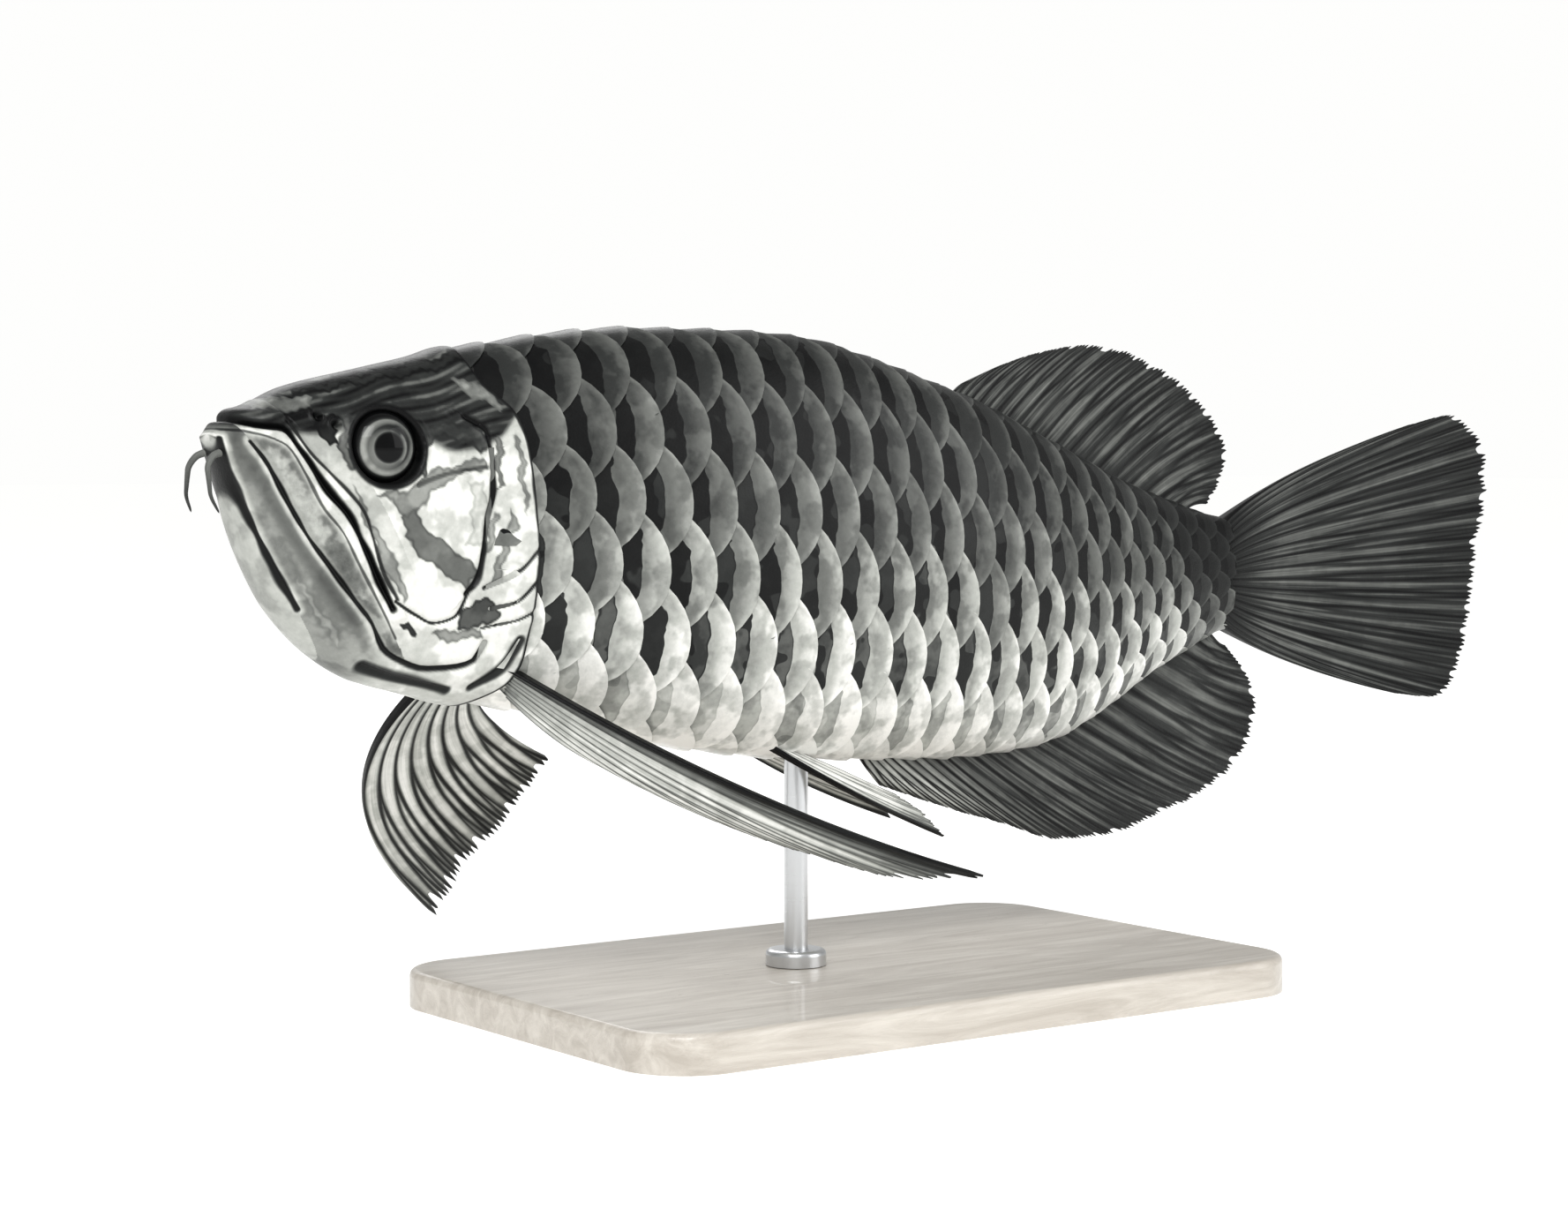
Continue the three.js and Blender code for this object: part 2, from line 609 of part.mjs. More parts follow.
// The whole head, cut into its pieces.
function headPieces() {
  const whole = headSkin();
  const core = headSkin(3.2);
  const deepCore = headSkin(3.2 + TOUCH_GAP);
  const headRegion = [...GILL_EDGE.slice().reverse(), [-40, 60], [-40, -116]];
  let head = whole.intersect(prism(headRegion));
  const pieces = {};

  const jawCorner = [[46, -112], [64, -100], [60, -84], [56, -72]];
  const jawRegion = [GAPE_LINE[0], [-14, -110], ...jawCorner, ...GAPE_LINE.slice(1).reverse()];
  pieces.lower_jaw = largestPiece(head.intersect(prism(jawRegion)));
  head = head.subtract(prism(grown(jawRegion, TOUCH_GAP + 0.2)));

  const maxillaOutline = grown(bandAlong(GAPE_LINE.slice(3).map(([x, z]) => [x + 0.6, z + 0.4]), MAXILLA_WIDTH), 0);
  const gillOutline = [...CHEEK_EDGE, [91, -70], [107, -66], [112, -50], [112, 22], [86, 14]];
  for (const [name, side] of [['left', -1], ['right', 1]]) {
    const [from, to] = side < 0 ? [-90, -4] : [4, 90];
    for (const [piece, outline] of [['maxilla', maxillaOutline], ['gill_cover', gillOutline]]) {
      const plate = head.intersect(prism(outline, from, to)).subtract(core);
      pieces[`${piece}_${name}`] = largestPiece(plate);
      head = head.subtract(prism(grown(outline, TOUCH_GAP), from, to).subtract(deepCore));
    }
    pieces[`eye_${name}`] = eyeball(side);
    head = head.subtract(eyeball(side, TOUCH_GAP));
    for (const [x, z] of NOSTRILS) {
      const pit = new THREE.SphereGeometry(1.7, 8, 5);
      const wall = Math.abs(skinPoint(x, 0.5 - sideTurn(x, z)).y);
      head = head.subtract(solidOf(pit.translate(x, side * wall, z)));
    }
    pieces[`barbel_${name}`] = clearOf(barbel(side), pieces.lower_jaw);
  }
  pieces.head = largestPiece(head);
  return pieces;
}

// The trunk, cut into lengths behind the head.
const TRUNK_CUTS = [262, 405];
function trunkPieces() {
  const whole = solidOf(scaledTrunk());
  const gill = GILL_EDGE.map(([x, z]) => [x + TOUCH_GAP + 0.2, z]);
  const behindHead = whole.intersect(prism([...gill, [700, -116], [700, 60]]));
  const length = (from, to) => largestPiece(behindHead.intersect(prism([[from, -200], [to, -200], [to, 200], [from, 200]])));
  return {
    trunk_front: length(0, TRUNK_CUTS[0]),
    trunk_rear: length(TRUNK_CUTS[0] + TOUCH_GAP, TRUNK_CUTS[1]),
    tail_stalk: length(TRUNK_CUTS[1] + TOUCH_GAP, TAIL_ROOT_X),
  };
}

// The bend of the spine, and the place of the fish over its base.
function spineAt(x) {
  let [px, py] = [SPINE_HEADINGS[0][0], 0];
  let heading = 0;
  for (let i = 0; i < SPINE_HEADINGS.length - 1; i += 1) {
    const [from, to] = [SPINE_HEADINGS[i], SPINE_HEADINGS[i + 1]];
    const start = THREE.MathUtils.degToRad(from[1]);
    const bend = (THREE.MathUtils.degToRad(to[1]) - start) / (to[0] - from[0]);
    const run = Math.min(x, to[0]) - from[0];
    heading = start + bend * run;
    if (Math.abs(bend) < 1e-9) {
      px += run * Math.cos(start);
      py += run * Math.sin(start);
    } else {
      px += (Math.sin(heading) - Math.sin(start)) / bend;
      py += (Math.cos(start) - Math.cos(heading)) / bend;
    }
    if (x <= to[0]) break;
  }
  return { px, py, heading };
}

function posed(solid) {
  const geometry = geometryFrom(solid);
  const position = geometry.attributes.position;
  for (let i = 0; i < position.count; i += 1) {
    const [x, y, z] = [position.getX(i), position.getY(i), position.getZ(i)];
    const { px, py, heading } = spineAt(x);
    position.setXYZ(i, px - y * Math.sin(heading) + SPINE_PLACE, py + y * Math.cos(heading), z + JAW_HEIGHT);
  }
  return geometry;
}

// The stand
function standBase() {
  const corner = 26;
  const [x, y] = [BASE_LENGTH / 2, BASE_WIDTH / 2];
  const shape = new THREE.Shape();
  shape.moveTo(-x + corner, -y);
  shape.lineTo(x - corner, -y);
  shape.absarc(x - corner, -y + corner, corner, -Math.PI / 2, 0);
  shape.lineTo(x, y - corner);
  shape.absarc(x - corner, y - corner, corner, 0, Math.PI / 2);
  shape.lineTo(-x + corner, y);
  shape.absarc(-x + corner, y - corner, corner, Math.PI / 2, Math.PI);
  shape.lineTo(-x, -y + corner);
  shape.absarc(-x + corner, -y + corner, corner, Math.PI, 1.5 * Math.PI);
  const bevel = 2.5;
  const slab = new THREE.ExtrudeGeometry(shape, {
    depth: BASE_THICKNESS - bevel,
    bevelEnabled: true,
    bevelThickness: bevel,
    bevelSize: bevel,
    bevelOffset: -bevel,
    bevelSegments: 1,
    curveSegments: 5,
  });
  const whole = solidOf(slab);
  const floor = solidOf(new THREE.BoxGeometry(2 * BASE_LENGTH, 2 * BASE_WIDTH, 20).translate(0, 0, -10));
  return geometryFrom(whole.subtract(floor));
}

const ROD_X = -24;
const ROD_Y = 3.5;
function standRod(trunk) {
  const [foot, top] = [BASE_THICKNESS + TOUCH_GAP, JAW_HEIGHT - 60];
  const rod = new THREE.CylinderGeometry(ROD_RADIUS, ROD_RADIUS, top - foot, 16).rotateX(Math.PI / 2);
  const collar = new THREE.CylinderGeometry(ROD_RADIUS + 5, ROD_RADIUS + 7, 6, 16).rotateX(Math.PI / 2);
  rod.translate(ROD_X, ROD_Y, (foot + top) / 2);
  collar.translate(ROD_X, ROD_Y, foot + 3);
  const made = solidOf(rod).add(solidOf(collar)).subtract(solidOf(trunk).translate(0, 0, -TOUCH_GAP));
  return geometryFrom(made.decompose().reduce((low, p) => (p.boundingBox().min[2] < low.boundingBox().min[2] ? p : low)));
}

const group = new THREE.Group();
function add(name, geometry, color, roughness = 0.45, metalness = 0) {
  const mesh = new THREE.Mesh(geometry, new THREE.MeshStandardMaterial({ color, roughness, metalness }));
  mesh.name = name;
  group.add(mesh);
}

const trunk = trunkPieces();
const head = headPieces();
const headColours = { lower_jaw: COLOURS.jaw, eye_left: COLOURS.eye, eye_right: COLOURS.eye };
for (const [name, solid] of Object.entries(head)) add(name, posed(solid), headColours[name] ?? COLOURS.head);
for (const [name, solid] of Object.entries(trunk)) add(name, posed(solid), name === 'tail_stalk' ? COLOURS.back : COLOURS.flank);
const shoulders = trunk.trunk_front.add(head.head).add(head.gill_cover_left).add(head.gill_cover_right);
const rearTrunk = trunk.trunk_front.add(trunk.trunk_rear).add(trunk.tail_stalk);
add('dorsal_fin', posed(dorsalFin(rearTrunk)), COLOURS.fin);
add('anal_fin', posed(analFin(rearTrunk)), COLOURS.fin);
add('tail_fin', posed(tailFin()), COLOURS.fin);
add('pectoral_fin_left', posed(pectoralFin(LEFT_PECTORAL, shoulders)), COLOURS.pale_fin);
add('pectoral_fin_right', posed(pectoralFin(RIGHT_PECTORAL, shoulders)), COLOURS.pale_fin);
add('pelvic_fin_left', posed(pelvicFin(LEFT_PELVIC, trunk.trunk_front)), COLOURS.pale_fin);
add('pelvic_fin_right', posed(pelvicFin(RIGHT_PELVIC, trunk.trunk_front)), COLOURS.pale_fin);
add('stand_base', standBase(), COLOURS.base, 0.35);
add('stand_rod', standRod(posed(trunk.trunk_front)), COLOURS.rod, 0.3, 0.9);

export default group;
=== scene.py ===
# %% [markdown]
# # An Asian arowana, modelled in cells
# The fish is a deep, flat-sided hunter of the surface, with one huge oblique mouth and a coat of very large
# scales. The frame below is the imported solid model. Every piece made here sits exactly where the frame says,
# in metres, with the origin under the middle of the display base.

import math

import bpy
import numpy as np
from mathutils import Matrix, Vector


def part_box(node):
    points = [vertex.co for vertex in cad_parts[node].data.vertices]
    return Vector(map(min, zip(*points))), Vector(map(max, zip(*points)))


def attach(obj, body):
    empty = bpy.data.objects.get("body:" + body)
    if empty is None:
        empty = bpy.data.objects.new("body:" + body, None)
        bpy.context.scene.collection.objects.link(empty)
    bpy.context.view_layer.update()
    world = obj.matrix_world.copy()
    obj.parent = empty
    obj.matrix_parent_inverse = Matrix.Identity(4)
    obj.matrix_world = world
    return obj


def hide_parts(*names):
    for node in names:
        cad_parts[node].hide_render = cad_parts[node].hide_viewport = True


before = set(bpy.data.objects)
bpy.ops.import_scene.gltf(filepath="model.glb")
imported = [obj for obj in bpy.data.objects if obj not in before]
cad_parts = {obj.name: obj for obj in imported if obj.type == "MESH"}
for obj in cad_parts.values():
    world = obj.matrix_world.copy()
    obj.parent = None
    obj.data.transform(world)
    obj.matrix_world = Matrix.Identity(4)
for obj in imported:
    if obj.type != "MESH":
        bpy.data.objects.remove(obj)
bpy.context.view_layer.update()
print("frame nodes:", len(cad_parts))

# %% [markdown]
# ## The body's lines
# A fish is easiest to measure while it is straight. All the sizes below are in millimetres on the straight
# fish, from the tip of its jaw: x runs to the tail, z up, and y to its right. A smooth curve that never
# overshoots joins each list of sizes, so the outline has no ripples.

# %% Sizes of the straight fish
MM = 0.001
JAW_HEIGHT = 216.0
SPINE_PLACE = -262.0
SCALE_COLUMNS = 25
SCALE_ROWS = 14
TRUNK_START, TRUNK_END = 66.0, 512.0
TAIL_ROOT_X = 495.0
EYE_X, EYE_Z, EYE_RADIUS = 50.5, -6.5, 12.2

BACK = [(-5, -2), (0, 3), (10, 8), (23, 14), (49, 20), (73, 25), (98, 29), (125, 33), (160, 36), (200, 36),
        (237, 34), (266, 28), (300, 19), (328, 11), (356, 1), (385, -9), (417, -20), (453, -29), (485, -36),
        (520, -42)]
BELLY = [(-5, -4), (-2, -14), (3, -33), (9, -48), (17, -62), (32, -77), (48, -86), (72, -92), (97, -96),
         (125, -101), (156, -111), (195, -118), (237, -123), (282, -126), (325, -128), (355, -127),
         (378, -124), (400, -117), (420, -109), (440, -101), (462, -94), (485, -87), (520, -79)]
HALF_WIDTH = [(-5, 6), (-2, 10), (3, 13), (10, 16), (23, 19), (36, 21), (51, 23), (75, 26), (100, 28),
              (140, 31), (200, 33), (255, 32), (310, 29), (365, 24), (410, 18), (450, 12), (480, 8.5),
              (520, 6)]
WIDEST_LEVEL = [(-5, -3), (5, -8), (20, -18), (50, -32), (100, -44), (200, -48), (300, -54), (400, -62),
                (520, -61)]


def through(pairs):
    """A smooth curve through pairs of place and size."""
    x, y = np.array(pairs, float).T
    slope = np.diff(y) / np.diff(x)
    tangent = np.concatenate(([slope[0]], np.zeros(len(x) - 2), [slope[-1]]))
    before, after = slope[:-1], slope[1:]
    total = np.where(before + after == 0, 1, before + after)
    tangent[1:-1] = np.where(before * after <= 0, 0, 2 * before * after / total)

    def curve(places):
        places = np.asarray(places, float)
        i = np.clip(np.searchsorted(x, places) - 1, 0, len(x) - 2)
        width = x[i + 1] - x[i]
        t = np.clip((places - x[i]) / width, 0, 1)
        rise = (2 * t**3 - 3 * t**2 + 1) * y[i] + (3 * t**2 - 2 * t**3) * y[i + 1]
        return rise + width * ((t**3 - 2 * t**2 + t) * tangent[i] + (t**3 - t**2) * tangent[i + 1])

    return curve


back, belly, half_width, widest_level = map(through, (BACK, BELLY, HALF_WIDTH, WIDEST_LEVEL))
print("greatest depth, mm:", round(float(np.max(back(np.arange(500)) - belly(np.arange(500)))), 1))

# %% [markdown]
# ## Round the body, and along its bend
# A point of the skin is named by its x and its turn round the body: 0 on the back, 0.5 on the belly, the left
# side first. Turns are spaced evenly along the skin, so that rows of scales keep their width. The spine then
# bends in the level plane, gently away from the viewer and back at the tail, as a swimming fish does.

# %% Skin points and the bend
SECTION_STEPS = 192
BACK_FULLNESS, BELLY_FULLNESS = 0.72, 0.9
NORMAL_STEP, NORMAL_TURN = 0.6, 0.006
POINTS_AT_ONCE = 20000
SPINE_HEADINGS = [(-60, 0), (130, 0), (480, 12), (560, -14), (700, -14)]


def skin_part(x, turn):
    """Points of the skin for one block: the section at each x is measured, then read at the wanted turn."""
    level = np.clip(widest_level(x), belly(x) + 0.3, back(x) - 0.3)[:, None]
    angle = np.linspace(0, np.pi, SECTION_STEPS + 1)[None]
    upper = angle < np.pi / 2
    reach = np.where(upper, back(x)[:, None] - level, level - belly(x)[:, None])
    swell = np.clip(np.sin(angle), 0, None)
    wide = half_width(x)[:, None] * np.where(upper, swell**BACK_FULLNESS, swell**BELLY_FULLNESS)
    high = level + reach * np.cos(angle)
    steps = np.cumsum(np.hypot(np.diff(wide), np.diff(high)), axis=1)
    lengths = np.concatenate([np.zeros((len(x), 1)), steps], axis=1)
    around = turn % 1
    side = np.where(around <= 0.5, -1, 1)
    wanted = np.where(around <= 0.5, around, 1 - around) * 2 * lengths[:, -1]
    i = np.clip((lengths < wanted[:, None]).sum(1) - 1, 0, SECTION_STEPS - 1)
    row = np.arange(len(x))
    t = (wanted - lengths[row, i]) / np.maximum(lengths[row, i + 1] - lengths[row, i], 1e-9)
    y = wide[row, i] + t * (wide[row, i + 1] - wide[row, i])
    z = high[row, i] + t * (high[row, i + 1] - high[row, i])
    return np.stack([x, side * y, z], axis=-1)


def skin_points(x, turn):
    """Points of the smooth skin, worked out a block at a time to spare memory."""
    x, turn = np.broadcast_arrays(np.asarray(x, float), np.asarray(turn, float))
    flat_x, flat_turn = x.ravel(), turn.ravel()
    blocks = [slice(i, i + POINTS_AT_ONCE) for i in range(0, len(flat_x), POINTS_AT_ONCE)]
    parts = [skin_part(flat_x[block], flat_turn[block]) for block in blocks]
    return np.concatenate(parts).reshape(x.shape + (3,))


def skin_normals(x, turn):
    """The way out of the skin, from short steps along it and round it."""
    along = skin_points(x + NORMAL_STEP, turn) - skin_points(x - NORMAL_STEP, turn)
    round_body = skin_points(x, turn + NORMAL_TURN) - skin_points(x, turn - NORMAL_TURN)
    normal = np.cross(round_body, along)
    return normal / np.maximum(np.linalg.norm(normal, axis=-1, keepdims=True), 1e-9)


def bent(points):
    """Straight millimetres to the posed fish in metres."""
    x, y, z = points[..., 0], points[..., 1], points[..., 2]
    px, py, turned = np.full_like(x, SPINE_HEADINGS[0][0]), np.zeros_like(x), np.zeros_like(x)
    for (start, from_deg), (end, to_deg) in zip(SPINE_HEADINGS, SPINE_HEADINGS[1:]):
        run = np.clip(x, None if start == SPINE_HEADINGS[0][0] else start, end) - start
        first = math.radians(from_deg)
        curl = (math.radians(to_deg) - first) / (end - start)
        turned = np.where(x >= start, first + curl * run, turned)
        if abs(curl) < 1e-9:
            px, py = px + run * math.cos(first), py + run * math.sin(first)
        else:
            px = px + (np.sin(first + curl * run) - math.sin(first)) / curl
            py = py + (math.cos(first) - np.cos(first + curl * run)) / curl
    placed = [px - y * np.sin(turned) + SPINE_PLACE, py + y * np.cos(turned), z + JAW_HEIGHT]
    return np.stack(placed, axis=-1) * MM


print("tip of the tail's root:", bent(np.array([[TAIL_ROOT_X, 0.0, -61.0]])).round(3))

# %% [markdown]
# ## Small tools for making pieces
# Each piece starts as a primitive from bpy.ops. An organic form has no flat faces to extrude, so a primitive
# with even rings, such as a UV sphere, is the clay: its rings and segments are laid on the fish one for one,
# the way a sculptor pulls a ball of clay into shape. Everything is deselected before an operator runs.

# %% Tools for primitives and their points
def deselect():
    if bpy.context.object and bpy.context.object.mode != "OBJECT":
        bpy.ops.object.mode_set(mode="OBJECT")
    bpy.ops.object.select_all(action="DESELECT")


def points_of(piece):
    flat = np.empty(len(piece.data.vertices) * 3)
    piece.data.vertices.foreach_get("co", flat)
    return flat.reshape(-1, 3)


def move_points(piece, points):
    piece.data.vertices.foreach_set("co", np.asarray(points, float).ravel())
    piece.data.update()


def pick(piece):
    deselect()
    bpy.context.view_layer.objects.active = piece
    piece.select_set(True)


def face_outwards(piece):
    pick(piece)
    bpy.ops.object.mode_set(mode="EDIT")
    bpy.ops.mesh.select_all(action="SELECT")
    bpy.ops.mesh.normals_make_consistent(inside=False)
    bpy.ops.object.mode_set(mode="OBJECT")
    bpy.ops.object.shade_smooth()
    deselect()


def ball(name, segments, rings):
    """A unit ball. Returns it with each point's share from pole to pole and its share round."""
    deselect()
    bpy.ops.mesh.primitive_uv_sphere_add(segments=segments, ring_count=rings, radius=1)
    piece = bpy.context.object
    piece.name = piece.data.name = name
    co = points_of(piece)
    down = np.arccos(np.clip(co[:, 2], -1, 1)) / np.pi
    around = (np.arctan2(co[:, 1], co[:, 0]) / (2 * np.pi)) % 1
    return piece, down, around


def xyz(x, y, z):
    """Points from three lists of places, any of which can be one number."""
    return np.stack(np.broadcast_arrays(x, y, z), axis=-1)


def store_chart(piece, name, chart):
    """Stores a flat place for every point in a UV map."""
    corners = np.empty(len(piece.data.loops), np.int32)
    piece.data.loops.foreach_get("vertex_index", corners)
    layer = piece.data.uv_layers.new(name=name)
    layer.data.foreach_set("uv", chart[corners].ravel().astype(np.float32))


def paint(piece, name, values):
    """Stores one number at every point, for a material to read."""
    layer = piece.data.attributes.new(name, "FLOAT", "POINT")
    layer.data.foreach_set("value", np.ascontiguousarray(values, np.float32))


def finish_piece(piece, nodes, material):
    piece.data.materials.clear()
    piece.data.materials.append(material)
    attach(piece, "root")
    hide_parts(*nodes)
    print(f"{piece.name}: {len(piece.data.polygons)} faces")


def smoothstep(value, low, high):
    t = np.clip((value - low) / (high - low), 0, 1)
    return t * t * (3 - 2 * t)


def bump(distance, width):
    return np.exp(-((distance / width) ** 2))


print("half way up a step:", smoothstep(0.5, 0, 1), "one width from a bump:", round(float(bump(1, 1)), 3))

# %% [markdown]
# ## Reading distance from drawn lines
# The head's plates, lips and grooves are all lines on its side. One helper gives every point's distance from
# such a line and the side it is on, and another tells how far a point is inside a closed plate. Relief and
# colour both come from these distances, so a painted edge always lies on its own modelled edge.

# %% Distances from lines and plates
def from_line(x, z, line):
    """Distance to an open line, and the side: above zero to the right of its run."""
    best, signed = np.full(x.shape, 1e9), np.zeros(x.shape)
    for (ax, az), (bx, bz) in zip(line, line[1:]):
        dx, dz = bx - ax, bz - az
        t = np.clip(((x - ax) * dx + (z - az) * dz) / (dx * dx + dz * dz), 0, 1)
        away = np.hypot(x - ax - t * dx, z - az - t * dz)
        right = np.sign((x - ax) * -dz + (z - az) * dx) * -1
        signed = np.where(away < best, right, signed)
        best = np.minimum(best, away)
    return best, best * signed


FAR_OUTSIDE, MARGIN = -9.0, 3

def inside(x, z, outline):
    """How far a point is inside a closed outline, below zero outside it. Distant points all get one value."""
    closed = list(outline) + [outline[0]]
    (low_x, low_z), (high_x, high_z) = np.min(closed, axis=0) - MARGIN, np.max(closed, axis=0) + MARGIN
    near = (x > low_x) & (x < high_x) & (z > low_z) & (z < high_z)
    near_x, near_z = x[near], z[near]
    away, _ = from_line(near_x, near_z, closed)
    within = np.zeros(near_x.shape, bool)
    for (ax, az), (bx, bz) in zip(closed, closed[1:]):
        crosses = (az > near_z) != (bz > near_z)
        within ^= crosses & (near_x < ax + (near_z - az) * (bx - ax) / (bz - az if bz != az else 1e-9))
    depth = np.full(x.shape, FAR_OUTSIDE)
    depth[near] = np.where(within, away, -away)
    return depth


def smooth_line(points, count=40):
    """A rounder line through a few points."""
    p = np.array(points, float)
    run = np.concatenate([[0], np.cumsum(np.hypot(*np.diff(p, axis=0).T))])
    share = np.linspace(0, run[-1], count)
    x, z = through(list(zip(run, p[:, 0])))(share), through(list(zip(run, p[:, 1])))(share)
    return list(zip(x, z))


print("points on a smoothed line:", len(smooth_line([(0, 0), (1, 2), (3, 3)])))

# %% [markdown]
# ## The lines of the head
# An arowana's head is mostly jaw. The gape falls steeply from the tip of the snout, with the upper jaw bone
# behind it and a pale lip in front. The cheek is sheathed in thin bony plates, and the gill cover closes the
# head with one long free edge. Low behind the jaw, the throat folds into thin rays.

# %% Head lines, in straight millimetres
GILL_EDGE = smooth_line([
    (84, 24), (88, 15), (93.2, 10.7), (99, 4.7), (102.2, -5.3), (103.4, -15.4), (104.2, -29.5),
    (104.8, -41.6), (104.2, -53.7), (103.5, -61.9), (102.4, -72.1), (102, -79.3), (99, -86.6),
    (90, -92.5), (76, -99), (66, -112)], 60)
HEAD_POINTS = {
    "gape": [
        (-3, 3.6), (7, 0.6), (14.4, 0), (20.4, -7.3), (28.9, -20.9), (35.9, -28.8), (42.2, -40.6),
        (47.9, -52.5), (52.7, -60.6)],
    "upper jaw back": [
        (16.8, 2.4), (24.3, -9.2), (30.1, -15.1), (36, -21), (42, -28.8), (44.5, -36.7), (48.6, -48.6),
        (54, -57.5)],
    "lip": [
        (-3.2, -0.5), (6.4, -2.5), (14.6, -5.4), (21, -15), (26.8, -25.8), (34, -34.6), (39.3, -44.5),
        (47.4, -58.5), (55, -70.7)],
    "keel": [
        (4, -4.4), (8.6, -11.1), (15.2, -23.7), (22.2, -35.4), (30.5, -46.3), (39.3, -57.3),
        (46.2, -65.4), (51.9, -74.7), (59, -79), (67.9, -81.8), (76.1, -81.6), (84, -79.7), (87, -73.1)],
    "throat": [
        (-4.2, -3.4), (-2.6, -10.2), (0.6, -19.8), (4.9, -30.5), (9.7, -40.3), (15.8, -51.1), (22, -60.6)],
    "cheek": [
        (80, 4), (87.8, -1.3), (88.7, -10.4), (88.3, -21.3), (85.6, -31.3), (84.3, -41.3), (82.3, -50.2),
        (78, -56)],
    "cover fold high": [(104.6, -41.6), (97.7, -48.6), (84.7, -54.3)],
    "cover fold middle": [(104.8, -51.7), (96.1, -59.6), (87.4, -61.4)],
    "cover fold low": [(105, -61.9), (96.7, -65.8), (84.9, -68)],
    "cheek seam": [(61, -19), (65.6, -17.2), (74.4, -14.8), (87, -13)],
    "cheek foot": [(53.5, -58.2), (61, -63), (67.7, -66), (74.8, -64.1), (79.3, -55.2)],
    "throat ray front": [(46, -80), (56, -83.5), (63.3, -85.4), (78.2, -89.1)],
    "throat ray back": [(86, -88.2), (94.5, -82.2), (99.6, -72)],
}
HEAD_LINES = {name: smooth_line(points) for name, points in HEAD_POINTS.items()}
HEAD_LINES["gill"] = GILL_EDGE
NOSTRILS = [(27.5, 4.0), (33.5, 1.0)]
CROWN_EDGE = [(-10, 2), (5, 1), (24, -1), (41, 0), (54, 3), (66, -3), (76, -7), (90, -4), (104, 10),
              (130, 20)]
print("head lines:", len(HEAD_LINES))

# %% [markdown]
# ## The washes of the head
# The cheek, the jaw and the crown each carry patches of grey, some dark and some pale. Each patch is a rough
# outline with one tone. Its edge is shaken later, so that it runs like a wash of ink.

# %% Head washes, each a tone and its outline
HEAD_WASHES = {
    "strip under the gape": (0.50, [
        (38, -19), (43, -29), (47, -35), (52, -44), (57, -53), (56, -58), (51, -51), (46, -42), (43, -34),
        (39, -25)]),
    "cheek shade": (0.34, [
        (54, -29), (60, -27), (63, -33), (69, -38), (77, -44), (82, -49), (78, -55), (72, -50), (63, -44),
        (56, -37)]),
    "band below the eye": (0.46, [
        (46, -22), (55, -21), (62, -17), (67, -14), (86, -10), (87, -13), (70, -18), (63, -26), (57, -30),
        (52, -25)]),
    "inner cheek": (0.70, [(80, -19), (85, -17), (86, -29), (83, -41), (78, -39), (80, -30)]),
    "corner of the jaw": (0.20, [
        (75, -67), (77, -62), (81, -58), (87, -58), (91, -62), (89, -66), (84, -68), (80, -69)]),
    "under the corner": (0.45, [(68, -69), (75, -68), (85, -69), (85, -71), (79, -72), (71, -72)]),
    "cover streak one": (0.38, [(90, -2), (93, -2), (92, -19), (90, -22), (90, -11)]),
    "cover streak two": (0.50, [(98, -3), (100, -4), (101, -30), (99, -25), (98, -13)]),
    "cover streak three": (0.48, [
        (95, -27), (97, -34), (93, -43), (91, -52), (86, -54), (89, -46), (92, -36)]),
    "cover streak four": (0.50, [(88, -29), (90, -28), (89, -36), (85, -44), (84, -41)]),
    "behind the eye": (0.26, [
        (62, 1), (65, 2), (82, 1), (88, -5), (85, -9), (79, -4), (72, -3), (67, -4), (64, -8), (63, -17),
        (60, -15), (63, -7)]),
    "nostril blot": (0.03, [(26, 5), (34, 5), (33, 0), (34, -6), (30, -6), (27, 0)]),
    "before the eye": (0.30, [
        (35, 4), (41, 6), (37, -2), (37, -8), (38, -14), (35, -12), (33, -7), (35, -3)]),
    "snout light": (0.50, [(6, 6), (17, 11), (28, 10), (25, 6), (10, 5)]),
    "nape light": (0.44, [(78, 16), (86, 16), (95, 8), (93, 6), (82, 11)]),
    "crown top": (0.10, [
        (24, 14), (38, 17), (55, 20), (62, 22), (78, 24), (96, 27), (94, 24), (76, 20), (53, 16),
        (35, 13), (21, 11)]),
    "lower jaw strip": (0.56, [
        (17, -43), (21, -49), (27, -57), (35, -68), (40, -74), (35, -72), (29, -66), (24, -57), (19, -49)]),
    "jaw dot": (0.10, [(55, -66), (59, -66), (62, -69), (61, -70), (56, -68)]),
}
print("head washes:", len(HEAD_WASHES))

# %% [markdown]
# ## The skin of the head
# The head is one skin from the tip of the jaw to the free edge of the gill covers, so no seam shows. It
# starts as a ball whose rings run from the snout to the gill edge. The last few rings turn in under the edge,
# which gives the cover its thickness and tucks it over the shoulder.

# %% Relief of the head
FOLDS = ["cover fold high", "cover fold middle", "cover fold low"]
SEAMS, RAYS = ["cheek seam", "cheek foot"], ["throat ray front", "throat ray back"]
GROOVES = [("gape", 2.2, 0.9), ("lip", 0.5, 1.4), ("keel", 1.5, 1.1), ("throat", 1.1, 1.0),
           ("cheek", 1.3, 0.9), ("cheek seam", 0.7, 0.9), ("cheek foot", 0.9, 0.9)]
GROOVES += [(fold, 0.8, 0.8) for fold in FOLDS] + [(ray, 1.1, 1.0) for ray in RAYS]
ROLLS = [("gape", 1.2, 3.2, 2.4), ("keel", 0.8, 3.5, 3.0), ("gill", 1.9, 0.0, 9.0)]
ROLLS += [(seam, 0.4, 2.2, 1.8) for seam in SEAMS] + [(fold, 0.35, 2.0, 1.5) for fold in FOLDS]
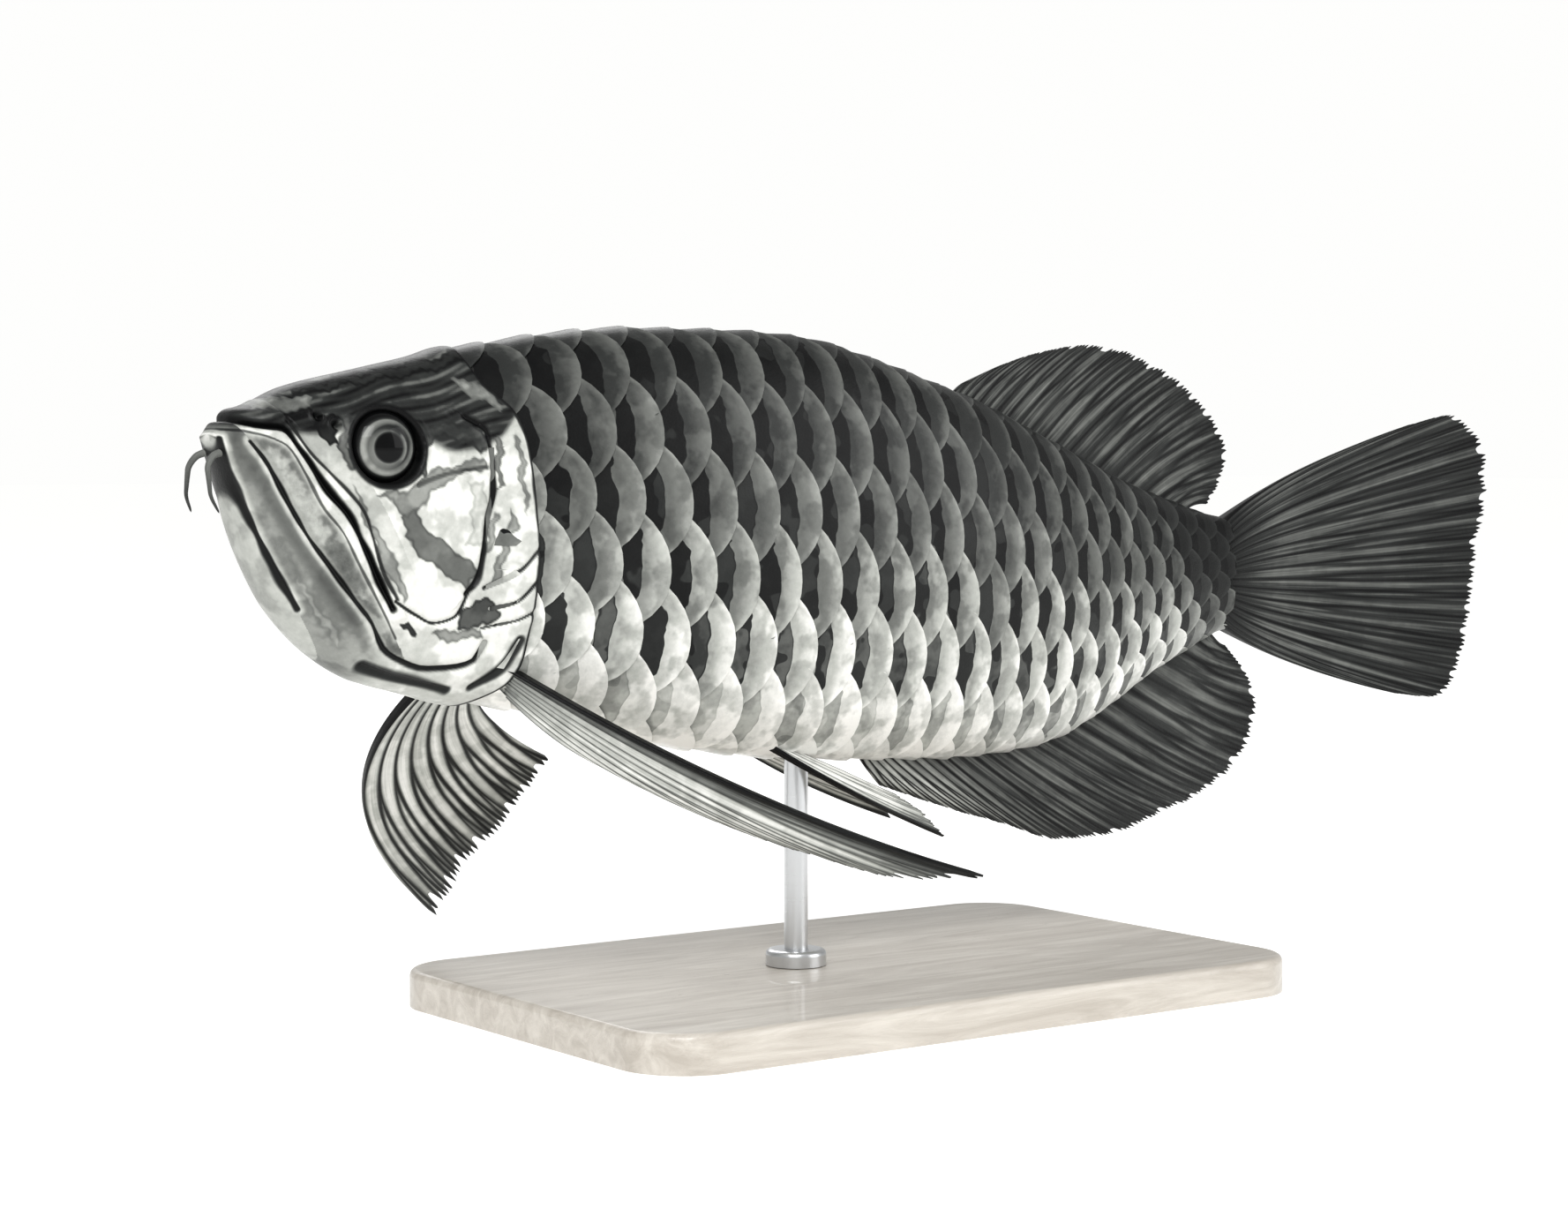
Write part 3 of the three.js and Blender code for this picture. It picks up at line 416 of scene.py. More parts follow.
SOCKET_RISE, SOCKET_DEPTH = 1.5, 5.5
NOSTRIL_DEPTH, NOSTRIL_RIM = 2.2, 0.5
FAN_X, FAN_Z, FAN_RIBS, FAN_RISE = 84, -8, 46, 0.12


def measure_head(x, z):
    """Every head line's distance and side at each point."""
    return {name: from_line(x, z, line) for name, line in HEAD_LINES.items()}


def head_relief(x, z, lines):
    """Height over the smooth skin: grooves and the rolls beside them, the socket, nostrils and cover fan."""
    height = np.zeros(x.shape)
    for name, depth, width in GROOVES:
        height -= depth * bump(lines[name][0], width)
    for name, rise, offset, width in ROLLS:
        height += rise * bump(lines[name][0] - offset, width)
    jaw_back, back_side = lines["upper jaw back"]
    height -= 1.1 * bump(jaw_back, 1.0) * (back_side > -9)
    height += 0.45 * smoothstep(back_side, 0.5, 6) * bump(jaw_back, 14)
    cheek_side = lines["cheek"][1]
    height += bump(cheek_side - 3.5, 3.5)
    from_socket = np.hypot(x - EYE_X, z - EYE_Z) - EYE_RADIUS
    height += SOCKET_RISE * bump(from_socket - 1.8, 1.7) - SOCKET_DEPTH * smoothstep(-from_socket, -0.4, 1.4)
    for hole_x, hole_z in NOSTRILS:
        away = np.hypot(x - hole_x, z - hole_z)
        height += NOSTRIL_RIM * bump(away - 2.1, 0.7) - NOSTRIL_DEPTH * bump(away, 1.3)
    ribs = np.sin(np.arctan2(z - FAN_Z, x - FAN_X) * FAN_RIBS)
    return height + FAN_RISE * smoothstep(cheek_side, 2, 8) * ribs * bump(lines["gill"][0], 30)


print("grooves and rolls:", len(GROOVES) + len(ROLLS))

# %% [markdown]
# ## The tone of the head
# The drawn head is pale below a dark crown. Grey panels lie on the jaw between its lines, and brush strokes
# follow the crown. Every plate edge has a black pen line, which presses harder in some places than in others.

# %% Tone of the head
STROKES = [("gape", 1.0, 1.35), ("keel", 0.95, 0.8), ("throat", 0.97, 1.0), ("upper jaw back", 0.75, 0.6),
           ("cheek", 0.98, 1.1), ("gill", 0.92, 0.8), ("lip", 0.6, 0.45), ("cover fold high", 0.8, 0.6),
           ("cover fold middle", 0.85, 0.6), ("cover fold low", 0.8, 0.5), ("cheek seam", 0.45, 0.7),
           ("cheek foot", 0.9, 0.6), ("throat ray front", 0.85, 1.9), ("throat ray back", 0.85, 1.7)]
PALE_HEAD, CROWN_DARKENING = 0.80, 0.64
WASH_COVER, WASH_EDGE = 0.85, 0.10
BLACKEST_LINE = 0.97


def stroke(distance, width):
    """A pen line with a solid middle and a short soft edge."""
    return 1 - smoothstep(distance, 0.5 * width, 1.35 * width)


def brush_strokes(x, z):
    """Long soft strokes that follow the slope of the crown."""
    broad = np.sin(1.15 * (z - 0.30 * x) + 1.2 * np.sin(0.09 * x))
    fine = np.sin(2.6 * (z - 0.27 * x) + 2 * np.sin(0.2 * x))
    return 0.11 * broad + 0.07 * fine


def head_tone(x, z, lines):
    """How pale the head is, from 0 for black to 1 for white."""
    over_crown = z - through(CROWN_EDGE)(x)
    keel_side, throat_side, lip_side = (lines[name][1] for name in ("keel", "throat", "lip"))
    jaw_back, back_side = lines["upper jaw back"]
    tone = PALE_HEAD - CROWN_DARKENING * smoothstep(over_crown, -2.5, 1.5)
    panel = smoothstep(lip_side, -0.5, 2.0) * smoothstep(-keel_side, -0.5, 2.0)
    tone -= 0.30 * panel * (x < 62)
    tongue = smoothstep(keel_side, 0.5, 3) * smoothstep(-throat_side, 0.5, 3) * smoothstep(46 - x, -10, 8)
    tone -= 0.30 * tongue + 0.16 * bump(keel_side - 4, 2.5) * tongue
    tone -= 0.16 * smoothstep(throat_side, 0.0, 1.5) * (x < 40) * (z < -4)
    upper_jaw = smoothstep(-jaw_back * np.sign(back_side), -1, 1) * (lines["gape"][0] < 12)
    tone -= 0.12 * upper_jaw * smoothstep(z, -60, -20)
    tone += brush_strokes(x, z) * smoothstep(over_crown, -1.5, 1.5)
    shaken_x = x + 0.8 * np.sin(0.55 * z + 0.3 * x) + 0.3 * np.sin(1.7 * z)
    shaken_z = z + 0.8 * np.sin(0.5 * x - 0.2 * z) + 0.3 * np.sin(1.9 * x)
    for wash_tone, outline in HEAD_WASHES.values():
        depth_in = inside(shaken_x, shaken_z, outline)
        cover = WASH_COVER * smoothstep(depth_in, -0.35, 0.35)
        tone = tone * (1 - cover) + wash_tone * cover - WASH_EDGE * bump(depth_in - 0.4, 0.5)
    from_socket = np.hypot(x - EYE_X, z - EYE_Z) - EYE_RADIUS
    black = stroke(np.abs(from_socket - 0.5), 1.7)
    pressed = 1 + 0.25 * np.sin(0.22 * z) + 0.12 * np.sin(0.6 * z + 1)
    for name, strength, width in STROKES:
        black = np.maximum(black, strength * stroke(lines[name][0], width * pressed))
    return np.clip(tone * (1 - BLACKEST_LINE * black), 0.0, 0.97)


def head_cloud(x, z, lines):
    """How blotchy the head is: most on the jaw's side, and some on the crown."""
    panel = smoothstep(lines["lip"][1], 0.5, 3.0) * smoothstep(-lines["keel"][1], 0.5, 3.0) * (x < 60)
    return 0.24 + 0.45 * panel + 0.22 * smoothstep(z, -6, 6)


print("pen lines:", len(STROKES))

# %% [markdown]
# ## Inks that every flesh piece shares
# The picture has no hue, only washes of ink from black to bare paper, so the living fish is given the quiet
# pewter of its silver-green variety. A node group turns a painted tone into that colour, with cloudy blotches
# in two sizes. Each flesh material reads the piece's painted tone, passes it to the group and adds its own
# grain for roughness and bump.

# %% Node groups for flesh
def new_group(name, given, results):
    """A node group with sockets of the given names and kinds. Returns it, its inputs and its results."""
    group = bpy.data.node_groups.new(name, "ShaderNodeTree")
    for way, sockets in (("INPUT", given), ("OUTPUT", results)):
        for label, kind in sockets.items():
            group.interface.new_socket(label, in_out=way, socket_type="NodeSocket" + kind)
    return group, group.nodes.new("NodeGroupInput").outputs, group.nodes.new("NodeGroupOutput").inputs


def add_node(tree, kind, **settings):
    node = tree.nodes.new(kind)
    for key, value in settings.items():
        if key in node.inputs:
            node.inputs[key].default_value = value
        else:
            setattr(node, key, value)
    return node


def join(tree, start, end):
    tree.links.new(start, end)


def math_node(tree, operation, first, second):
    node = tree.nodes.new("ShaderNodeMath")
    node.operation = operation
    for socket, value in zip(node.inputs, (first, second)):
        if isinstance(value, (int, float)):
            socket.default_value = value
        else:
            join(tree, value, socket)
    return node.outputs[0]


def ramp_between(tree, value, low, high):
    """0 below the low value and 1 above the high one, with a soft step between."""
    node = tree.nodes.new("ShaderNodeMapRange")
    node.interpolation_type = "SMOOTHSTEP"
    node.inputs["From Min"].default_value, node.inputs["From Max"].default_value = low, high
    join(tree, value, node.inputs["Value"])
    return node.outputs["Result"]


def times(tree, first, second):
    return math_node(tree, "MULTIPLY", first, second)


def plus(tree, first, second):
    return math_node(tree, "ADD", first, second)


def scaled(tree, value, factor, shift):
    """A value times a factor, plus a shift."""
    return plus(tree, times(tree, value, factor), shift)


def noise(tree, source, scale, detail, roughness=0.5, distortion=0.0, stretch=None):
    """Noise read from a socket of coordinates, which can be stretched first."""
    if stretch:
        mapping = tree.nodes.new("ShaderNodeMapping")
        mapping.inputs["Scale"].default_value = stretch
        join(tree, source, mapping.inputs["Vector"])
        source = mapping.outputs["Vector"]
    texture = add_node(tree, "ShaderNodeTexNoise", Scale=scale, Detail=detail, Roughness=roughness,
                       Distortion=distortion)
    join(tree, source, texture.inputs["Vector"])
    return texture.outputs["Fac"]


def object_place(tree):
    return tree.nodes.new("ShaderNodeTexCoord").outputs["Object"]


def color_ramp(tree, value, stops):
    """Turns a value into colours by its stops."""
    node = tree.nodes.new("ShaderNodeValToRGB")
    for element, stop in zip(node.color_ramp.elements, (stops[0], stops[-1])):
        element.position, element.color = stop
    for position, color in stops[1:-1]:
        node.color_ramp.elements.new(position).color = color
    join(tree, value, node.inputs["Fac"])
    return node.outputs["Color"]


def add_bump(tree, shader, height, strength, distance):
    relief = add_node(tree, "ShaderNodeBump", Strength=strength, Distance=distance)
    join(tree, height, relief.inputs["Height"])
    join(tree, relief.outputs["Normal"], shader.inputs["Normal"])


INK_STOPS = [(0.0, (0.0015, 0.0016, 0.0018, 1)), (0.22, (0.024, 0.0255, 0.0245, 1)),
             (0.45, (0.145, 0.15, 0.14, 1)), (0.7, (0.43, 0.44, 0.41, 1)), (1.0, (0.92, 0.915, 0.88, 1))]
BROAD_BLOTCHES, SMALL_BLOTCHES = 70.0, 330.0


def make_ink_group():
    """Turns a tone and a share of cloudiness into the ink's colour."""
    group, given, result = new_group("ink_wash", {"Tone": "Float", "Cloud": "Float"},
                                     {"Color": "Color", "Paleness": "Float"})
    place = object_place(group)
    broad = ramp_between(group, noise(group, place, BROAD_BLOTCHES, 3.0, 0.55), 0.44, 0.56)
    small = noise(group, place, SMALL_BLOTCHES, 3.0, 0.6)
    swing = plus(group, times(group, broad, 0.5), scaled(group, small, 0.7, -0.6))
    room = scaled(group, given["Tone"], 1.3, 0.06)
    tone = plus(group, given["Tone"], times(group, times(group, swing, room), given["Cloud"]))
    join(group, color_ramp(group, tone, INK_STOPS), result["Color"])
    join(group, tone, result["Paleness"])
    return group


INK = make_ink_group()
print("ink group nodes:", len(INK.nodes))

# %% Materials for flesh
ROUGHNESS_SWING = 0.16
DULL_SHINE = 0.12
STREAK_DEPTH, STREAK_LENGTH = 0.75, 1.3


def new_material(name):
    material = bpy.data.materials.new(name)
    material.use_nodes = True
    return material, material.node_tree, material.node_tree.nodes["Principled BSDF"]


def flesh_material(name, cloud, metal, roughness, coat, grain=900.0, grain_depth=0.00012, streaks=0.0):
    """A damp, finely grained surface that takes its tone from the piece's own paint."""
    material, tree, shader = new_material(name)
    tone = add_node(tree, "ShaderNodeAttribute", attribute_name="tone").outputs["Fac"]
    ink = tree.nodes.new("ShaderNodeGroup")
    ink.node_tree = INK
    if cloud is None:
        patchy = add_node(tree, "ShaderNodeAttribute", attribute_name="cloud")
        join(tree, patchy.outputs["Fac"], ink.inputs["Cloud"])
    else:
        ink.inputs["Cloud"].default_value = cloud
    if streaks:
        web = add_node(tree, "ShaderNodeUVMap", uv_map="web")
        brushed = noise(tree, web.outputs["UV"], 1.0, 3.0, 0.6, stretch=(streaks, STREAK_LENGTH, 1.0))
        tone = plus(tree, tone, scaled(tree, brushed, STREAK_DEPTH, -STREAK_DEPTH / 2))
    join(tree, tone, ink.inputs["Tone"])
    join(tree, ink.outputs["Color"], shader.inputs["Base Color"])
    join(tree, times(tree, ink.outputs["Paleness"], metal), shader.inputs["Metallic"])
    join(tree, times(tree, ink.outputs["Paleness"], coat), shader.inputs["Coat Weight"])
    grains = noise(tree, object_place(tree), grain, 4.0, 0.6)
    rough = scaled(tree, grains, ROUGHNESS_SWING, roughness - ROUGHNESS_SWING / 2)
    join(tree, rough, shader.inputs["Roughness"])
    add_bump(tree, shader, grains, 1.0, grain_depth)
    shader.inputs["Specular IOR Level"].default_value = DULL_SHINE
    shader.inputs["Coat Roughness"].default_value = 0.15
    return material


HEAD_SKIN = flesh_material("head_skin", cloud=None, metal=0.10, roughness=0.38, coat=0.15)
BODY_SKIN = flesh_material("body_skin", cloud=0.25, metal=0.1, roughness=0.45, coat=0.1)
FEELER_SKIN = flesh_material("feeler_skin", cloud=0.15, metal=0.0, roughness=0.4, coat=0.1,
                             grain_depth=0.0001)
print("flesh materials:", [material.name for material in (HEAD_SKIN, BODY_SKIN, FEELER_SKIN)])

# %% [markdown]
# ## Shaping the head
# The ball's rings are packed closely at the snout, where the form turns fastest, and its segments run evenly
# round the skin. Each ring ends on the gill edge, so that the edge is a clean line of the mesh and not a row
# of stair steps.

# %% Make the head
HEAD_SEGMENTS, HEAD_RINGS = 520, 330
SNOUT_X = -5.0
EDGE_RINGS = 7


def gill_place(turn):
    """The x at which the gill edge crosses each turn round the body."""
    edge = np.array(GILL_EDGE)
    order = np.argsort(edge[:, 1])
    place = np.full(turn.shape, 98.0)
    for _ in range(12):
        level = skin_points(place, turn)[..., 2]
        place = 0.5 * place + 0.5 * np.interp(level, edge[order, 1], edge[order, 0])
    return place


head, down, around = ball("head_skin", HEAD_SEGMENTS, HEAD_RINGS)
edge_by_turn = gill_place(np.arange(HEAD_SEGMENTS) / HEAD_SEGMENTS)
round_edge = np.append(edge_by_turn, edge_by_turn[0])
edge_x = np.interp(around * HEAD_SEGMENTS, np.arange(HEAD_SEGMENTS + 1), round_edge)
ring = np.round(down * HEAD_RINGS).astype(int)
outer = HEAD_RINGS - EDGE_RINGS
share = np.clip(ring / outer, 0, 1)
share = 0.55 * share + 0.45 * share**1.8
head_x = SNOUT_X + (edge_x - SNOUT_X) * share
straight = skin_points(head_x, around)
normals = skin_normals(head_x, around)
fade = smoothstep(head_x, -4.6, 4)[:, None]
side_x, side_z = straight[:, 0], straight[:, 2]
lines = measure_head(side_x, side_z)
relief = head_relief(side_x, side_z, lines)[:, None]
tucked = np.clip(ring - outer, 0, EDGE_RINGS)[:, None] / EDGE_RINGS
TUCK_IN, TUCK_FORWARD = 9.0, np.array([[7.0, 0, 0]])
head_mm = straight + normals * (relief * fade - TUCK_IN * tucked**1.5)
head_mm = head_mm - TUCK_FORWARD * np.clip(tucked - 0.35, 0, 1)
head_mm[ring == 0] = straight[ring == 0].mean(0) - np.array([0.3, 0, 0])
last = ring == HEAD_RINGS
head_mm[last] = head_mm[ring == HEAD_RINGS - 1].mean(0)
move_points(head, bent(head_mm))
# The rings tucked in under the gill edge are painted half as pale: painted shade under the gill cover.
paint(head, "tone", head_tone(side_x, side_z, lines) * (1 - 0.5 * (tucked[:, 0] > 0.1)))
paint(head, "cloud", head_cloud(side_x, side_z, lines))
face_outwards(head)
HEAD_NODES = ["head", "lower_jaw", "maxilla_left", "maxilla_right", "gill_cover_left", "gill_cover_right"]
finish_piece(head, HEAD_NODES, HEAD_SKIN)

# %% [markdown]
# ## The skin under the scales
# Behind the head a plain skin carries the scales. It shows only in the narrow shadows between them and along
# the tail, so it is coarser. It starts inside the head and closes inside the root of the tail fin.

# %% Make the body's skin
BODY_SEGMENTS, BODY_RINGS = 160, 190
BODY_START = 62.0
body, down, around = ball("body_skin", BODY_SEGMENTS, BODY_RINGS)
body_x = BODY_START + (TAIL_ROOT_X + 1.5 - BODY_START) * np.clip(down, 0, 1)
straight = skin_points(body_x, around)
normals = skin_normals(body_x, around)
sunk = -0.9 - 4.0 * smoothstep(-body_x, -92, -66)
body_mm = straight + normals * np.asarray(sunk)[:, None]
for end in (0.0, 1.0):
    cap = np.isclose(down, end)
    body_mm[cap] = np.array([body_x[cap].mean(), 0, float(widest_level(body_x[cap].mean()))])
move_points(body, bent(body_mm))
row_of = np.minimum(around, 1 - around) * SCALE_ROWS
paint(body, "tone", 0.10 + 0.55 * smoothstep(row_of, 2.5, 6.8) * smoothstep(-body_x, -500, -380))
face_outwards(body)
finish_piece(body, ["trunk_front", "trunk_rear", "tail_stalk"], BODY_SKIN)

# %% [markdown]
# ## One scale, laid three hundred times
# Arowana scales are as wide as a thumb, with a round free edge and a bright rim, and each lies over the next
# like a roof tile. One small plate is modelled from a grid, with a turned-down rim, and copied on to the body
# by column and row. It rises towards its rim, so that overlapping sorts itself out. Real plates give a crisp
# edge and a true shadow, which bump alone can't.

# %% Model one scale
PLATE_ALONG, PLATE_ACROSS = 6, 10
RIM_REACH, RIM_ROUND, FRONT_REACH = 0.63, 0.62, 0.52
RIM_POWER = 2.3
PLATE_HALF = 0.82
deselect()
bpy.ops.mesh.primitive_grid_add(x_subdivisions=PLATE_ALONG, y_subdivisions=PLATE_ACROSS, size=2)
plate = bpy.context.object
plate_points = points_of(plate)
plate_faces = np.array([list(face.vertices) for face in plate.data.polygons])
along_share, across = (plate_points[:, 0] + 1) / 2, plate_points[:, 1]
SKIRT_SHARE = 1 - 1 / PLATE_ALONG
skirt = along_share > SKIRT_SHARE + 0.01
along_share = np.clip(along_share / SKIRT_SHARE, 0, 1)
rim = RIM_REACH - RIM_ROUND * np.abs(across) ** RIM_POWER
plate_u = -FRONT_REACH + (rim + FRONT_REACH) * along_share
plate_v = PLATE_HALF * across
plate_h = -0.35 + 1.35 * along_share + 0.3 * (1 - across**2) * along_share
plate_h = np.where(skirt, plate_h - 0.9, plate_h)
bpy.data.objects.remove(plate)
print("plate points:", len(plate_points))

# %% [markdown]
# ## Laying the scales
# Columns are a little wider at the front, and every other row is set half a column back. A scale is left out
# where it would lie wholly under the gill cover or past the root of the tail fin.

# %% Lay the scales
def column_place(column):
    share = column / SCALE_COLUMNS
    return TRUNK_START + (TRUNK_END - TRUNK_START) * share * (1.12 - 0.12 * share)


SCALE_SEED = 7
chance = np.random.default_rng(SCALE_SEED)
laid = []
for row in range(SCALE_ROWS):
    edge = float(gill_place(np.array([row / SCALE_ROWS]))[0])
    for step in range(SCALE_COLUMNS + 1):
        column = step + (0.5 if row % 2 else 0.0)
        if column_place(column + 0.45) >= edge and column_place(column + 0.2) <= TAIL_ROOT_X - 2:
            laid.append((column, row))
laid = np.array(laid, float)
count = len(laid)
jitter = chance.normal(0, 1, (count, 6))
column = laid[:, 0, None] + plate_u[None] * (1 + 0.02 * jitter[:, 0, None])
row = laid[:, 1, None] + plate_v[None] * (1 + 0.015 * jitter[:, 1, None])
scale_x = np.minimum(column_place(column), TAIL_ROOT_X - 0.5)
scale_turn = row / SCALE_ROWS
straight = skin_points(scale_x, scale_turn)
normals = skin_normals(scale_x, scale_turn)
size_fade = 0.55 + 0.45 * smoothstep(-scale_x, -500, -300)
scale_mm = straight + normals * (plate_h[None] * size_fade + 0.06 * jitter[:, 2, None])[..., None]
faces = (plate_faces[None] + (np.arange(count) * len(plate_points))[:, None, None]).reshape(-1, 4)
mesh = bpy.data.meshes.new("scales")
mesh.from_pydata(bent(scale_mm).reshape(-1, 3).tolist(), [], faces.tolist())
scales = bpy.data.objects.new("scales", mesh)
bpy.context.scene.collection.objects.link(scales)
print("scales laid:", count)

# %% [markdown]
# ## The tone of the scales
# On each scale a dark blot stands close behind the rim of the scale in front, and the free rim is pale. The
# blots are black along the back and fade row by row to the bare belly. Their edges wander, as washes of ink
# do, so every scale gets its own small changes from a seeded draw. The plates are too coarse to carry a crisp
# edge, so each point only stores how deep it is in its blot, and a node group finds the edge.

# %% A node group for the blots
EDGE_WANDER, CORE_PULL = 0.24, 0.45


def make_blot_group():
    """Darkens a tone inside a wandering blot, with a wet dark edge and black cores."""
    sockets = {"Tone": "Float", "Blot": "Float", "Depth": "Float", "Core": "Float"}
    group, given, result = new_group("scale_blot", sockets, {"Tone": "Float"})
    place = object_place(group)
    wander = scaled(group, noise(group, place, 120.0, 1.5, 0.45), EDGE_WANDER, -EDGE_WANDER / 2)
    field = plus(group, given["Blot"], wander)
    within = ramp_between(group, field, 0.0, 0.012)
    wet_edge = math_node(group, "SUBTRACT", 1.0, ramp_between(group, field, 0.012, 0.045))
    bias = scaled(group, given["Core"], CORE_PULL, -CORE_PULL / 2)
    cores = ramp_between(group, plus(group, noise(group, place, 85.0, 1.0), bias), 0.485, 0.51)
    black = math_node(group, "MAXIMUM", times(group, wet_edge, 0.7), cores)
    deep = times(group, scaled(group, black, 0.34, 0.60), given["Depth"])
    kept = math_node(group, "SUBTRACT", 1.0, times(group, deep, within))
    join(group, times(group, given["Tone"], kept), result["Tone"])
    return group


BLOTS = make_blot_group()
print("blot group nodes:", len(BLOTS.nodes))

# %% [markdown]
# ## Painting the scales
# The ground grows pale from the back to the belly and darkens again at the tail. Each blot is a squarish
# oval. Four numbers go to the material: the ground's tone, how far inside its blot a point is, how dark that
# blot gets, and how much of it is black.

# %% Paint the scales
side_row = np.minimum(laid[:, 1], SCALE_ROWS - laid[:, 1])
body_share = np.clip((column_place(laid[:, 0]) - 90) / 400, 0, 1)
BLOT_PLACE, BLOT_HALF_WIDTH, BLOT_HALF_HEIGHT, BLOT_SQUARENESS = -0.16, 0.23, 0.66, 2.4
GROUND_BY_ROW = [0.20, 0.27, 0.33, 0.44, 0.60, 0.76, 0.88, 0.94]
BLOT_BY_ROW = [0.80, 0.95, 0.97, 0.97, 0.95, 0.88, 0.30, 0.0]
ground = np.interp(side_row, range(8), GROUND_BY_ROW)
ground = ground - 0.06 * body_share - 0.42 * smoothstep(body_share, 0.84, 0.97) + 0.03 * jitter[:, 3]
ground = np.clip(ground, 0.07, 1)
depth = np.interp(side_row, range(8), BLOT_BY_ROW)
deeper = 0.25 * smoothstep(body_share, 0.45, 0.9) * (side_row == 6)
depth = np.clip(depth + 0.05 * jitter[:, 4] + deeper, 0, 1)
lean = (plate_v[None] + 0.04 * jitter[:, 1, None]) / (BLOT_HALF_HEIGHT * (1 + 0.08 * jitter[:, 5, None]))
off_middle = (plate_u[None] - BLOT_PLACE) / (BLOT_HALF_WIDTH * (1 + 0.10 * jitter[:, 2, None]))
radius = (np.abs(lean) ** BLOT_SQUARENESS + np.abs(off_middle) ** BLOT_SQUARENESS) ** (1 / BLOT_SQUARENESS)
blot = (1 - radius) * BLOT_HALF_WIDTH
wash = 0.22 * smoothstep(0.26 + blot, 0.0, 0.1) * depth[:, None]
rim_glow = smoothstep(plate_u[None] - (rim[None] - 0.16), -0.02, 0.1)
tone = ground[:, None] * (1 - wash) + 0.10 * rim_glow
# The turned-down skirt under each scale's rim is painted dark: a painted shadow line under the rim.
tone = np.where(skirt[None], tone * 0.25, tone)
core = np.interp(side_row, [0, 2, 4, 5, 7], [0.9, 0.85, 0.62, 0.45, 0.3]) + 0.16 * jitter[:, 3]
for name, values in (("tone", np.clip(tone, 0.02, 0.96)), ("blot", blot), ("depth", depth[:, None]),
                     ("core", np.clip(core, 0, 1)[:, None])):
    paint(scales, name, np.broadcast_to(values, tone.shape).ravel())
print("darkest ground:", round(float(ground.min()), 2), "palest:", round(float(ground.max()), 2))

# %% [markdown]
# ## A place for every scale on one chart
# So that the tones can be baked, each scale has a small patch of its own on a chart of the body, laid out by
# its column and row.

# %% Lay out the chart and finish the scales
PATCH = 0.003
patch_u = (laid[:, 0, None] + 1) / (SCALE_COLUMNS + 3) + PATCH * plate_u[None]
patch_v = (laid[:, 1, None] + 0.5) / SCALE_ROWS + PATCH * plate_v[None]
store_chart(scales, "OFBake", np.stack([patch_u.ravel(), patch_v.ravel()], axis=-1))
SCALE_SKIN = flesh_material("scale_enamel", cloud=0.30, metal=0.22, roughness=0.36, coat=0.3, grain=1100.0,
                            grain_depth=0.0001)
tree = SCALE_SKIN.node_tree
blotted = tree.nodes.new("ShaderNodeGroup")
blotted.node_tree = BLOTS
for attribute, socket in (("tone", "Tone"), ("blot", "Blot"), ("depth", "Depth"), ("core", "Core")):
    reader = add_node(tree, "ShaderNodeAttribute", attribute_name=attribute)
    join(tree, reader.outputs["Fac"], blotted.inputs[socket])
ink = next(node for node in tree.nodes if node.type == "GROUP" and node.node_tree == INK)
join(tree, blotted.outputs["Tone"], ink.inputs["Tone"])
pick(scales)
bpy.ops.object.shade_smooth_by_angle(angle=math.radians(40))
deselect()
finish_piece(scales, ["trunk_front", "trunk_rear", "tail_stalk"], SCALE_SKIN)

# %% [markdown]
# ## Fins
# A fin is a thin web stretched over soft rays that fork towards the edge. Each starts as a grid laid between
# its root and its outline, gets its thickness from a Solidify modifier, and then has its rays raised on both
# faces. The web tears a little between the rays, so the outline is finely ragged.

# %% Tools for fins
def path_through(points):
    """A smooth path through points, run by its share from 0 to 1."""
    p = np.array(points, float)
    run = np.concatenate([[0], np.cumsum(np.linalg.norm(np.diff(p, axis=0), axis=1))])
    curves = [through(list(zip(run / run[-1], p[:, i]))) for i in range(p.shape[1])]
    return lambda share: np.stack([curve(share) for curve in curves], axis=-1)


FIRST_FORK, SECOND_FORK, FORK_RUN = 0.20, 0.11, 0.3
LEAD_WIDTH = 0.045


def ray_pattern(u, v, rays, fork, seed):
    """How much of a ray is at each point, from 0 on the web to 1 on a ray. Rays fork twice."""
    chance = np.random.default_rng(seed)
    wobble = chance.normal(0, 0.06, rays)
    strength = np.zeros(u.shape)
    spread = 1.0 / (rays - 1)
    for i in range(rays):
        for first, second in ((-1, -1), (-1, 1), (1, -1), (1, 1)):
            fork_once = FIRST_FORK * first * smoothstep(v, fork, fork + FORK_RUN)
            fork_twice = SECOND_FORK * second * smoothstep(v, fork + FORK_RUN, 1.0)
            centre = spread * (i + fork_once + fork_twice + wobble[i] * v)
            strength = np.maximum(strength, bump(u - centre, spread * (0.17 - 0.09 * v)))
    return strength


